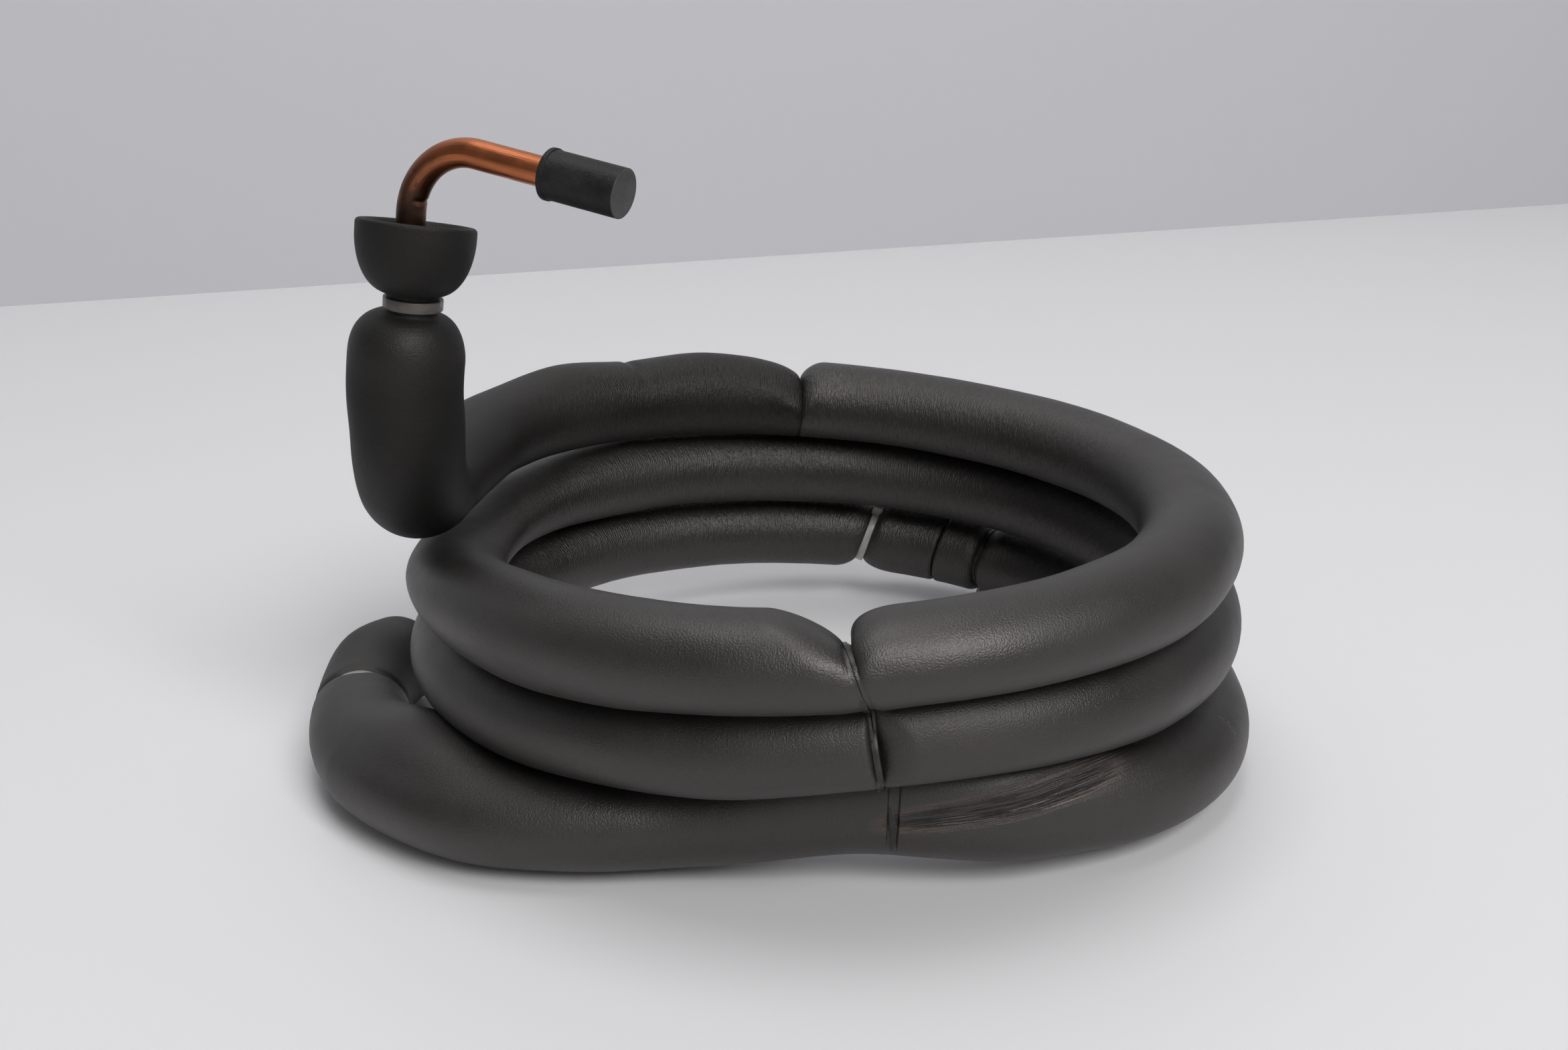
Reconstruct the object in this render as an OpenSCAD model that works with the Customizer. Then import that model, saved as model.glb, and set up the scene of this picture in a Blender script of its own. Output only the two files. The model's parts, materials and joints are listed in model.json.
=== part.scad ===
// A copper tube wound into three stacked turns, in foam sleeves held by cable ties.
// The turns run clockwise seen from above, from the riser on the left down to the tail.

/* [Coil] */
// Radius of the turns at the middle of the tube
coil_r = 130; // [125:1:150]
// Outside diameter of a sleeve in the turns
sleeve_od = 34; // [28:0.5:34]
// Height of one layer of turns
layer_h = 34; // [34:0.25:40]

/* [Copper tube] */
// Outside diameter of the copper tube
tube_od = 9.5; // [8:0.1:10]
// Wall of the copper tube
tube_wall = 0.8; // [0.6:0.05:1.2]
// Radius of the bare elbow at the middle of the tube
elbow_r = 20; // [16:0.5:26]
// Angle through which the elbow turns
elbow_turn = 92; // [80:1:110]
// Straight copper between the sleeve's end and the elbow
elbow_lead = 5; // [1:0.5:12]
// Straight copper after the elbow, up to its capped end
elbow_leg = 52; // [40:1:70]
// Bare copper that stands out of the tail sleeve
tail_stub = 20; // [15:1:45]

/* [Riser] */
// How far the riser stands outside the turns
riser_out = 20; // [18:1:30]
// Outside diameter of the riser's sleeve
riser_od = 38; // [34:0.5:38]
// Radius of the bend from the riser into the top turn
riser_bend_r = 40; // [38:1:46]
// Height of the tied neck above the riser's bend
neck_rise = 35.5; // [24:0.5:50]
// Outside diameter of the foam in the tied neck
neck_od = 17.5; // [15:0.5:20]
// Length of the flared foam end above the neck
flare_h = 26; // [24:1:40]
// Outside diameter of the flared foam end
flare_od = 38.5; // [32:0.5:42]
// Depth of the dish in the flared end
dish_depth = 3; // [1:0.5:6]

/* [Cap] */
// Outside diameter of the rubber cap
cap_od = 15.5; // [14:0.5:18]
// Length of the rubber cap
cap_len = 26; // [22:0.5:34]
// Thickness of the closed end of the cap
cap_end = 4; // [2:0.5:6]

/* [Ties] */
// Width of a tie's strap
strap_w = 3.6; // [2.5:0.1:4.8]
// Thickness of a tie's strap
strap_t = 1.1; // [0.9:0.1:1.4]
// Side of a tie's locking head, along the strap
head_len = 5.5; // [4.5:0.5:7]
// Height of a tie's locking head
head_h = 4.2; // [3.5:0.1:5.5]
// Length of the tail left on a tie
tie_tail = 12; // [6:1:20]

/* [Hidden] */

// Clearances
fit_gap = 0.1;
soft_gap = 0.3;
nest_gap = 0.05;
tie_gap = 0.45;
loop_gap = 0.8;

// Sides of the swept sections
sleeve_sides = 16;
bore_sides = 8;
tube_sides = 12;

// Radii of the swept sections
sleeve_r = sleeve_od / 2;
riser_r = riser_od / 2;
tube_r = tube_od / 2;
tube_bore_r = tube_r - tube_wall;
bore_r = (tube_r + soft_gap) / cos(180 / bore_sides);

// A sleeve in the stack is a little wider than it is tall
wide_share = 1.03;
tall_share = 0.96;

// Places of the turns every 30 degrees, clockwise from the left side.
// Outward steps are shares of a sleeve's radius, heights are shares of a layer.
station_turn = 30;
out_shares = [
    0.95, 0.40, 0.10, -0.05, -0.15, -0.20, -0.20, -0.15, -0.10, -0.05, 0.05, 0.15,
    0.25, 0.40, 0.45, 0.50, 0.45, 0.30, 0.05, -0.25, -0.55, -0.70, -0.45, 0.00,
    0.40, 0.75, 1.00, 1.05, 0.90, 0.50, 0.30, 0.05, -1.00, -1.85, -1.20, 1.30,
    2.68, 2.15
];
up_shares = [
    3.05, 3.15, 3.05, 2.87, 2.71, 2.63, 2.61, 2.62, 2.62, 2.58, 2.53, 2.42,
    2.24, 2.19, 2.07, 1.92, 1.77, 1.65, 1.63, 1.64, 1.65, 1.65, 1.58, 1.45,
    1.32, 1.24, 1.10, 0.94, 0.76, 0.60, 0.52, 0.57, 0.68, 0.76, 0.59, 0.53,
    0.52, 0.56
];

// Rings of the swept sections
ring_turn = 15;
first_turn = 15;
last_turn = 1095;
bend_rings = 6;
ring_slack = 0.2;

// Joints between sleeves and the waists under the front tie, as places along the turns
back_joint = 86;
front_joint = 270;
middle_joint = 625;
low_joints = [818.5, 832.5, 841];
bottom_waist = 981;
tail_joint = 1078;

// Cinched ends: how a sleeve grows away from a joint, and its width sooner than its height
joint_gap = 0.4;
joint_share = 0.66;
front_share = 0.41;
waist_share = 0.64;
lifted_share = 0.8;
butt_share = 0.88;
taper_len = 12;
back_taper_len = 24;
front_taper_len = 26;
round_len = 20;
collar_taper_len = 9;
butt_round_len = 3;
level_len = 4.5;
butt_level_len = 0.5;
taper_shares = [[0, 0, 0], [0.2, 0.54, 0.88], [0.52, 0.86, 1], [1, 1, 1]];
waist_level_len = 7;
waist_len = 28;

// The bottom sleeve swells before the tail joint: places along the turns and shares of height and width
tail_swell = [[1022, 1, 1], [1042, 1.02, 1.14], [1064, 1.05, 1.28]];
end_round_shares = [[0.4, 1], [0.12, 0.95], [0, 0.86]];

// The first turn's end is pressed flat under the riser's bend
press_turn = 366;
press_span = 48;
press_share = 0.5;

// Place of the riser
riser_lag = -13.5;
riser_lean = 7.5;
riser_axis_r = coil_r + riser_out;
riser_up = [sin(riser_lean), 0, cos(riser_lean)];
bend_level_share = 2.97;
riser_foot = [-riser_axis_r * cos(riser_lag), riser_axis_r * sin(riser_lag), bend_level_share * layer_h];
bend_start = riser_foot + riser_bend_r * riser_up;
flare_end = neck_rise + flare_h;
leg_turn = -27;

// Outline of the riser's sleeve from the shoulder up to the rim: shares of the height and of the radius
shoulder_len = 12;
shoulder_shares = [[0.1, 0.35], [0.25, 0.68], [0.5, 0.9], [1, 1]];
flare_shares = [[0.2, 0.3], [0.32, 0.56], [0.5, 0.8], [0.72, 0.95], [0.9, 1], [0.97, 0.98]];
rim_share = 0.93;
flare_r = flare_od / 2;
neck_r = neck_od / 2;

// The riser's swell runs out along the top turn, and its bend is pressed where it rests on the turn below
swell_turn = 35;
bend_press_share = 0.92;
bend_press_rings = 3;

// Smooth value of a list at a place between its entries
function held(list, i) = list[max(0, min(len(list) - 1, i))];
function spline(a, b, c, d, f) =
    b + f * (c - a + f * (2 * a - 5 * b + 4 * c - d + f * (3 * (b - c) + d - a))) / 2;
function smooth(list, x) =
    let (i = floor(x))
    spline(held(list, i - 1), held(list, i), held(list, i + 1), held(list, i + 2), x - i);

// Middle of the tube at a turn angle, counted clockwise from the left side
function turn_point(turn) =
    let (x = turn / station_turn,
        r = coil_r + sleeve_r * smooth(out_shares, x))
    [-r * cos(turn), r * sin(turn), layer_h * smooth(up_shares, x)];

// Middle of the tube along its whole covered length, from the riser's top to the tail
bend_points = [for (i = [1 : bend_rings])
    let (a = 90 * i / bend_rings)
    bend_start + riser_bend_r * ([0, 1 - cos(a), 0] - sin(a) * riser_up)];
turn_points = [for (turn = [first_turn : ring_turn : last_turn]) turn_point(turn)];
riser_top = bend_start + riser_up * neck_rise / 2;
tail_heading = unit(turn_point(last_turn) - turn_point(last_turn - ring_turn / 4));
tail_point = turn_point(last_turn) + tail_heading * tail_stub / 3;
spine = concat([riser_top, bend_start], bend_points, turn_points, [tail_point]);
first_place = 2 + bend_rings;

// Directions across the tube at a point of the spine: outward from the coil, and the third one
function unit(v) = v / norm(v);
function heading(i) = unit(held(spine, i + 1) - held(spine, i - 1));
function flat_out(p) = unit([p.x, p.y, 0]);
function square_to(v, way) = unit(v - (v * way) * way);
function across(i) = square_to(flat_out(spine[i]), heading(i));
function third(i) = cross(heading(i), across(i));

// One ring of points round the spine, and a ring part way between two of them
function ring(i, wide, tall, sides) =
    [for (k = [0 : sides - 1])
        let (a = 360 * (k + 0.5) / sides)
        spine[i] + across(i) * wide * cos(a) + third(i) * tall * sin(a)];
function ring_at(x, wide, tall, sides) =
    let (i = floor(x), f = x - i)
    f == 0 ? ring(i, wide, tall, sides)
        : (1 - f) * ring(i, wide, tall, sides) + f * ring(i + 1, wide, tall, sides);
function place(turn) = first_place + (turn - first_turn) / ring_turn;

// Stations of a sleeve: place along the turns, and the shares of the full height and width there
function arc_turn(length) = length / coil_r * 180 / PI;
function grown(root, share) = root + (1 - root) * share;
function end_shape(at, way, root, level, length) =
    concat([[at + way * arc_turn(joint_gap / 2), root, root]],
        [for (s = taper_shares)
            [at + way * arc_turn(level + s[0] * length), grown(root, s[1]), grown(root, s[2])]]);
function grow(at, root, level, length) = end_shape(at, 1, root, level, length);
function shrink(at, root, level, length) = reversed(end_shape(at, -1, root, level, length));
function waist(at, root, level, length) =
    concat(shrink(at, root, level, length), grow(at, root, level, length));
function share_at(turn, shape, column) = lookup(turn, [for (s = shape) [s[0], s[column]]]);
function between(a, b, shape) =
    [for (turn = [first_turn : ring_turn : last_turn])
        if (turn > a + ring_slack && turn < b - ring_slack)
            [turn, share_at(turn, shape, 1), share_at(turn, shape, 2)]];
function reversed(list) = [for (i = [len(list) - 1 : -1 : 0]) list[i]];
function stations(shape) =
    [for (i = [0 : len(shape) - 1]) each
        concat([shape[i]], i < len(shape) - 1 ? between(shape[i][0], shape[i + 1][0], shape) : [])];

// Height of the section where the riser presses on it
function pressed(turn) =
    let (f = abs(turn - press_turn) / press_span)
    f < 1 ? 1 - press_share * (1 + cos(180 * f)) / 2 : 1;

// Rings of a sleeve's skin and of its bore from its stations
function skin_rings(stations) =
    [for (s = stations)
        ring_at(place(s[0]), sleeve_r * s[2] * wide_share,
            sleeve_r * s[1] * tall_share * pressed(s[0]), sleeve_sides)];
function bore_rings(stations) =
    [for (s = stations) ring_at(place(s[0]), bore_r, bore_r, bore_sides)];

// Stations of the sleeves in the turns
first_stations = stations(concat([[first_turn, 1, 1]],
    shrink(back_joint, joint_share, butt_level_len, back_taper_len)));
top_stations = stations(concat(grow(back_joint, joint_share, butt_level_len, taper_len),
    shrink(front_joint, front_share, level_len, round_len)));
middle_stations = stations(concat(grow(front_joint, front_share, level_len, front_taper_len),
    shrink(middle_joint, waist_share, level_len, taper_len)));
lower_stations = stations(concat(grow(middle_joint, waist_share, level_len, taper_len),
    shrink(low_joints[0], joint_share, level_len, taper_len)));
collar_long_stations = stations(concat(grow(low_joints[0], joint_share, level_len, collar_taper_len),
    shrink(low_joints[1], butt_share, butt_level_len, butt_round_len)));
collar_short_stations = stations(concat(grow(low_joints[1], butt_share, butt_level_len, butt_round_len),
    shrink(low_joints[2], joint_share, level_len, collar_taper_len)));
bottom_stations = stations(concat(grow(low_joints[2], joint_share, level_len, taper_len),
    waist(bottom_waist, lifted_share, waist_level_len, waist_len), tail_swell,
    shrink(tail_joint, joint_share, level_len, taper_len)));
tail_stations = stations(concat(grow(tail_joint, joint_share, level_len, taper_len),
    [for (s = end_round_shares) [last_turn - arc_turn(s[0] * sleeve_r), s[1], s[1]]]));

// Faces of a sleeve's end between two points of its bore and the three points of its skin beside them
function end_faces(b, c, k, m, first) =
    let (o = [for (j = [0 : 2]) first + (2 * k + j) % m])
    [[b, o[0], o[1]], [b, o[1], c], [c, o[1], o[2]]];

// A closed skin through rings of points, round a bore through rings of half as many points
module sleeve(skin, bore) {
    n = len(skin);
    m = len(skin[0]);
    h = len(bore[0]);
    base = n * m;
    points = concat([for (r = skin) each r], [for (r = bore) each r]);
    walls = [for (i = [0 : n - 2], k = [0 : m - 1]) each
        [[i * m + k, (i + 1) * m + k, (i + 1) * m + (k + 1) % m],
            [i * m + k, (i + 1) * m + (k + 1) % m, i * m + (k + 1) % m]]];
    bores = [for (i = [0 : n - 2], k = [0 : h - 1]) each
        [[base + i * h + k, base + (i + 1) * h + (k + 1) % h, base + (i + 1) * h + k],
            [base + i * h + k, base + i * h + (k + 1) % h, base + (i + 1) * h + (k + 1) % h]]];
    start = [for (k = [0 : h - 1]) each end_faces(base + k, base + (k + 1) % h, k, m, 0)];
    far = base + (n - 1) * h;
    end = [for (k = [0 : h - 1]) each
        [for (f = end_faces(far + k, far + (k + 1) % h, k, m, (n - 1) * m)) reversed(f)]];
    polyhedron(points, concat(walls, bores, start, end));
}

// Rings of the riser's sleeve, from the rim of its flared end down to its bend and into the top turn
function upright_ring(rise, r, sides) =
    let (o = across(0), s = cross(-riser_up, o))
    [for (k = [0 : sides - 1])
        let (a = 360 * (k + 0.5) / sides)
        bend_start + rise * riser_up + r * (o * cos(a) + s * sin(a))];
upright_outline = concat(
    [[flare_end, flare_r * rim_share]],
    [for (s = reversed(flare_shares)) [neck_rise + s[0] * flare_h, neck_r + s[1] * (flare_r - neck_r)]],
    [[neck_rise + strap_w, neck_r], [neck_rise - strap_w, neck_r]],
    [for (s = shoulder_shares)
        [neck_rise - strap_w - s[0] * shoulder_len, neck_r + s[1] * (riser_r - neck_r)]]);
bend_skin = [for (i = [1 : first_place - 1])
    ring(i, riser_r, riser_r * (i < first_place - bend_press_rings ? 1 : bend_press_share), sleeve_sides)];
function riser_swell(turn) =
    let (f = min(1, (turn - first_turn) / swell_turn))
    1 + (riser_r / sleeve_r - 1) * (1 + cos(180 * f)) / 2;
first_skin = [for (s = first_stations)
    ring_at(place(s[0]), sleeve_r * s[2] * wide_share * riser_swell(s[0]),
        sleeve_r * s[1] * tall_share * riser_swell(s[0]), sleeve_sides)];
riser_skin = concat([for (p = upright_outline) upright_ring(p[0], p[1], sleeve_sides)],
    bend_skin, first_skin);
function dished(z) = z > neck_rise ? neck_rise + (z - neck_rise) * (1 - dish_depth / flare_h) : z;
riser_bore = concat([for (p = upright_outline) upright_ring(dished(p[0]), bore_r, bore_sides)],
    [for (i = [1 : first_place - 1]) ring(i, bore_r, bore_r, bore_sides)], bore_rings(first_stations));

// Elbow of the copper tube: it turns from the riser's axis to the leg's about a fixed centre
elbow_rings = 10;
elbow_rise = flare_end + elbow_lead;
leg_out = [cos(leg_turn) * cos(riser_lean), sin(leg_turn), -cos(leg_turn) * sin(riser_lean)];
elbow_centre = bend_start + elbow_rise * riser_up + elbow_r * leg_out;
elbow_axis = cross(riser_up, leg_out);
function turned(v, axis, a) = cos(a) * v + sin(a) * cross(axis, v) + (1 - cos(a)) * (axis * v) * axis;
function elbow_ring(a, r) =
    [for (p = upright_ring(elbow_rise, r, tube_sides))
        elbow_centre + turned(p - elbow_centre, elbow_axis, a)];
leg_heading = turned(riser_up, elbow_axis, elbow_turn);
leg_start = elbow_centre - elbow_r * turned(leg_out, elbow_axis, elbow_turn);

// Rings of the copper tube from its capped end to its tail, where they nest in the wall of the round stub
tube_lap = 2;
swept_tube_r = tube_r - nest_gap;
swept_bore_r = (tube_bore_r + nest_gap) / cos(180 / tube_sides);
tail_across = square_to(flat_out(turn_point(last_turn)), tail_heading);
function tube_rings(r) =
    concat([[for (p = elbow_ring(elbow_turn, r)) p + elbow_leg * leg_heading]],
        [for (i = [elbow_rings : -1 : 0]) elbow_ring(elbow_turn * i / elbow_rings, r)],
        [for (i = [0 : len(spine) - 1]) ring(i, r, r, tube_sides)]);

// Cap and ties
cap_r = cap_od / 2;
cap_lip = 0.5;
head_width_share = 1.5;
head_w = strap_w * head_width_share;
neck_head_turn = 25;
low_back_head_turn = 150;
low_joint_head_turn = 250;
tail_head_turn = 170;
joint_tie_r = sleeve_r * joint_share * wide_share + tie_gap;

// The front tie's loop stands on the line from the bottom turn's waist to the front joint
loop_half_share = 0.88;
loop_half = sleeve_r * loop_half_share;
loop_line = turn_point(front_joint) - turn_point(bottom_waist);
loop_up = unit(loop_line);
loop_normal = unit(cross([0, 1, 0], loop_up));
loop_side = cross(loop_up, loop_normal);
loop_low = loop_half - sleeve_r * lifted_share * wide_share - loop_gap;
loop_high = norm(loop_line) + sleeve_r * front_share * wide_share + soft_gap - loop_half;
head_low = (loop_low + loop_high - head_len) / 2;

// The part stands on the floor, in the middle of its own box
foam_points = [for (r = concat(riser_skin, skin_rings(top_stations), skin_rings(middle_stations),
    skin_rings(lower_stations), skin_rings(bottom_stations), skin_rings(tail_stations))) each r];
function low(axis) = min([for (p = foam_points) p[axis]]);
function high(axis) = max([for (p = foam_points) p[axis]]);
centre = [(low(0) + high(0)) / 2, (low(1) + high(1)) / 2, low(2)];

module placed() {
    translate(-centre) children();
}

module coil_sleeve(stations) {
    color("#2b2b2d") placed() sleeve(skin_rings(stations), bore_rings(stations));
}

module foam_riser() {
    color("#2b2b2d") placed() sleeve(riser_skin, riser_bore);
}

module foam_top() {
    coil_sleeve(top_stations);
}

module foam_middle() {
    coil_sleeve(middle_stations);
}

module foam_lower() {
    coil_sleeve(lower_stations);
}

module foam_collar_long() {
    coil_sleeve(collar_long_stations);
}

module foam_collar_short() {
    coil_sleeve(collar_short_stations);
}

module foam_bottom() {
    coil_sleeve(bottom_stations);
}

module foam_tail() {
    coil_sleeve(tail_stations);
}

// Turns a shape's own axis along a heading, with its first axis across it
module along(origin, first, heading) {
    second = cross(heading, first);
    multmatrix([
        [first.x, second.x, heading.x, origin.x],
        [first.y, second.y, heading.y, origin.y],
        [first.z, second.z, heading.z, origin.z],
        [0, 0, 0, 1]
    ]) children();
}

module copper_tube() {
    color("#b8683a") placed() {
        pipe(tube_rings(swept_tube_r), tube_rings(swept_bore_r));
        along(turn_point(last_turn) + tail_heading * tube_lap, tail_across, tail_heading) round_stub();
    }
}

// The bare end of the tube behind the coil
module round_stub() {
    linear_extrude(tail_stub - tube_lap) difference() {
        circle(r = tube_r, $fn = 64);
        circle(r = tube_bore_r, $fn = 64);
    }
}

// A closed wall between two lists of rings with as many points each
module pipe(outer, inner) {
    n = len(outer);
    m = len(outer[0]);
    base = n * m;
    points = concat([for (r = outer) each r], [for (r = inner) each r]);
    walls = [for (i = [0 : n - 2], k = [0 : m - 1]) each
        let (a = i * m + k, b = i * m + (k + 1) % m)
        [[a, a + m, b + m], [a, b + m, b],
            [base + a, base + b + m, base + a + m], [base + a, base + b, base + b + m]]];
    ends = [for (k = [0 : m - 1]) each
        let (a = k, b = (k + 1) % m, far = (n - 1) * m)
        [[a, b, base + b, base + a], [far + b, far + a, base + far + a, base + far + b]]];
    polyhedron(points, concat(walls, ends));
}

module end_cap() {
    mouth = elbow_leg + soft_gap + cap_end - cap_len;
    color("#1d1d1e") placed() along(leg_start + mouth * leg_heading, elbow_axis, leg_heading)
        rotate_extrude($fn = 72) polygon([
            [tube_r + fit_gap, 0],
            [cap_r + cap_lip, 0],
            [cap_r + cap_lip, cap_lip * 3],
            [cap_r, cap_lip * 5],
            [cap_r, cap_len - cap_lip],
            [cap_r - cap_lip, cap_len],
            [0, cap_len],
            [0, cap_len - cap_end],
            [tube_r + fit_gap, cap_len - cap_end]
        ]);
}

// A strap round its own axis, with its locking head and the cut tail that stands out of it
module tie(inner_r, head_turn) {
    rotate_extrude($fn = 72) translate([inner_r, -strap_w / 2]) square([strap_t, strap_w]);
    rotate([0, 0, head_turn]) {
        translate([inner_r + strap_t / 2, -head_len / 2, -head_w / 2]) cube([head_h, head_len, head_w]);
        translate([inner_r + strap_t / 2, -strap_t / 2, -strap_w / 2]) cube([tie_tail, strap_t, strap_w]);
    }
}

// A tie round the tube at a place along the turns
module turn_tie(turn, head_turn) {
    x = place(turn);
    i = floor(x);
    f = x - i;
    middle = (1 - f) * spine[i] + f * spine[i + 1];
    way = unit((1 - f) * heading(i) + f * heading(i + 1));
    color("#c9c9c4") placed() along(middle, square_to(flat_out(middle), way), way)
        tie(joint_tie_r, head_turn);
}

module tie_low_back() {
    turn_tie(low_joints[0], low_back_head_turn);
}

module tie_low_joint() {
    turn_tie(low_joints[2], low_joint_head_turn);
}

module tie_tail_joint() {
    turn_tie(tail_joint, tail_head_turn);
}

module tie_neck() {
    color("#c9c9c4") placed() along(bend_start + neck_rise * riser_up, elbow_axis, riser_up)
        tie(neck_r + soft_gap, neck_head_turn);
}

// The front tie's loop: two round ends joined by straight runs
module loop_outline(half) {
    translate([0, loop_low]) circle(r = half, $fn = 64);
    translate([0, loop_high]) circle(r = half, $fn = 64);
    translate([-half, loop_low]) square([2 * half, loop_high - loop_low]);
}

module tie_front() {
    color("#c9c9c4") placed() along(turn_point(bottom_waist), loop_side, loop_normal)
        translate([0, 0, -strap_w / 2]) {
            linear_extrude(strap_w) difference() {
                loop_outline(loop_half + strap_t);
                loop_outline(loop_half);
            }
            translate([loop_half + strap_t / 2, head_low, (strap_w - head_w) / 2])
                cube([head_h, head_len, head_w]);
        }
}

copper_tube();
foam_riser();
foam_top();
foam_middle();
foam_lower();
foam_collar_long();
foam_collar_short();
foam_bottom();
foam_tail();
end_cap();
tie_neck();
tie_low_back();
tie_low_joint();
tie_front();
tie_tail_joint();
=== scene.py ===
"""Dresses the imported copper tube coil: foam sleeves, copper tube, rubber cap and cable ties."""

import json
import logging
import math
from dataclasses import dataclass, field
from enum import Enum

import bpy
import numpy as np
from mathutils import Matrix, Vector, noise


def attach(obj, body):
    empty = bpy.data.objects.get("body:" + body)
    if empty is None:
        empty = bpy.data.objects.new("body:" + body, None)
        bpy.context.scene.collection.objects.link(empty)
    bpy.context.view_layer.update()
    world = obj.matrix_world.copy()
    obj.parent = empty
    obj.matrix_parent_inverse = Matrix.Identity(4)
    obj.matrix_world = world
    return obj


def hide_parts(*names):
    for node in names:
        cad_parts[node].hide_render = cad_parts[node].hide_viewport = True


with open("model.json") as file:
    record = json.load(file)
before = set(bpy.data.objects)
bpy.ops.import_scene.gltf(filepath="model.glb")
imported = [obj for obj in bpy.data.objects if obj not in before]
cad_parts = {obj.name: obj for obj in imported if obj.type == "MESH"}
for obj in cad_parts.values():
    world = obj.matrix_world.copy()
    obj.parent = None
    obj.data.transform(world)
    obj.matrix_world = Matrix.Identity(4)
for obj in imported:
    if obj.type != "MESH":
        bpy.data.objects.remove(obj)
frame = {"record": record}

MM = 0.001
X_AXIS = np.array([1.0, 0.0, 0.0])
Y_AXIS = np.array([0.0, 1.0, 0.0])
Z_AXIS = np.array([0.0, 0.0, 1.0])
LEVEL = X_AXIS + Y_AXIS
BODY = "root"
NECK_TIE_GAP = 0.3

Colour = tuple[float, float, float, float]

log = logging.getLogger("coil")


class Slot(Enum):
    """Material slots of the record."""

    COPPER = "copper"
    FOAM = "foam"
    CAP = "cap_rubber"
    TIE = "tie_plastic"


class Mark(Enum):
    """Weights that a piece's mesh carries for its finish."""

    CREPE = "crepe"
    SCUFF = "scuff"
    RUB = "rub"
    # Brown on the copper: partly oxide, partly a painted dark reflection.
    TARNISH = "tarnish_and_shade"
    # Matte skin that is also painted darker as shade: in the cup, the dish, the gaps and on the tail.
    DULL = "dull_and_shade"


def unit(rows: np.ndarray) -> np.ndarray:
    """Scales vectors to length one.

    Args:
        rows: one vector, or rows of vectors.

    Returns:
        The vectors at unit length.
    """
    return rows / np.linalg.norm(rows, axis=-1, keepdims=True)


def square_to(rows: np.ndarray, heading: np.ndarray) -> np.ndarray:
    """The part of vectors that is square to headings, at unit length.

    Args:
        rows: one vector, or rows of vectors.
        heading: the unit heading of each.

    Returns:
        The square vectors.
    """
    return unit(rows - np.sum(rows * heading, axis=-1, keepdims=True) * heading)


def angles(sides: int) -> np.ndarray:
    """Even angles round a ring, in radians."""
    return 2 * np.pi * np.arange(sides) / sides


def half_turn(degrees: np.ndarray) -> np.ndarray:
    """Angles brought within half a turn of zero."""
    return (degrees + 180.0) % 360.0 - 180.0


def ease(x: np.ndarray) -> np.ndarray:
    """Smooth step from 0 to 1, level outside that range."""
    x = np.clip(x, 0.0, 1.0)
    return x * x * (3.0 - 2.0 * x)


def bell(x: np.ndarray) -> np.ndarray:
    """Smooth hump: 1 at zero, 0 from one unit away on."""
    return ease(1.0 - np.abs(x))


def along_curve(values: tuple[float, ...], x: np.ndarray) -> np.ndarray:
    """Smooth value of a list at places between its entries.

    Args:
        values: the list's entries, evenly spaced.
        x: places in the list, where 1.5 is half way from entry 1 to entry 2.

    Returns:
        The value at each place.
    """
    table = np.asarray(values)
    i = np.floor(x).astype(int)
    f = x - i
    a, b, c, d = (table[np.clip(i + k, 0, len(table) - 1)] for k in (-1, 0, 1, 2))
    return b + f * (c - a + f * (2 * a - 5 * b + 4 * c - d + f * (3 * (b - c) + d - a))) / 2


@dataclass(frozen=True)
class Route:
    """Middle line of the tube about the coil's own axis, in millimetres.

    The turns are counted clockwise from the left side, seen from above. Outward steps are shares of a
    sleeve's radius, and heights are shares of a layer, at every station.
    """

    coil_r: float = 130.0
    sleeve_r: float = 17.0
    layer_h: float = 34.0
    station_turn: float = 30.0
    first_turn: float = 15.0
    last_turn: float = 1095.0
    tail_stub: float = 20.0
    stub_lap: float = 2.0
    bore_r: float = 5.05
    joint_gap: float = 0.1
    wide_share: float = 1.03
    tall_share: float = 0.96
    out_shares: tuple[float, ...] = (
        0.95, 0.40, 0.10, -0.05, -0.15, -0.20, -0.20, -0.15, -0.10, -0.05, 0.05, 0.15,
        0.25, 0.40, 0.45, 0.50, 0.45, 0.30, 0.05, -0.25, -0.55, -0.70, -0.45, 0.00,
        0.40, 0.75, 1.00, 1.05, 0.90, 0.50, 0.30, 0.05, -1.00, -1.85, -1.20, 1.30,
        2.68, 2.15,
    )
    up_shares: tuple[float, ...] = (
        3.05, 3.15, 3.05, 2.87, 2.71, 2.63, 2.61, 2.62, 2.62, 2.58, 2.53, 2.42,
        2.24, 2.19, 2.07, 1.92, 1.77, 1.65, 1.63, 1.64, 1.65, 1.65, 1.58, 1.45,
        1.32, 1.24, 1.10, 0.94, 0.76, 0.60, 0.52, 0.57, 0.68, 0.76, 0.59, 0.53,
        0.52, 0.56,
    )

    def points(self, turns: np.ndarray) -> np.ndarray:
        """Points of the middle line.

        Args:
            turns: places along the turns, in degrees.

        Returns:
            One row of x, y and z for each place.
        """
        x = np.asarray(turns, float) / self.station_turn
        r = self.coil_r + self.sleeve_r * along_curve(self.out_shares, x)
        a = np.radians(turns)
        z = self.layer_h * along_curve(self.up_shares, x)
        return np.stack([-r * np.cos(a), r * np.sin(a), z], axis=-1)

    def origin(self, record: dict) -> np.ndarray:
        """The frame's origin, as a point about the coil's axis.

        Args:
            record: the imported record, whose tail mount lies in the middle of the bare stub.

        Returns:
            The point that the frame calls zero.
        """
        mount = next(m for m in record["mounts"] if m["name"] == "tail_stub")
        reach = (self.stub_lap + self.tail_stub) / 2
        stub = self.points(np.array([self.last_turn]))[0] + reach * np.asarray(mount["axis"])
        return stub - np.asarray(mount["pos_m"]) / MM


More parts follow.
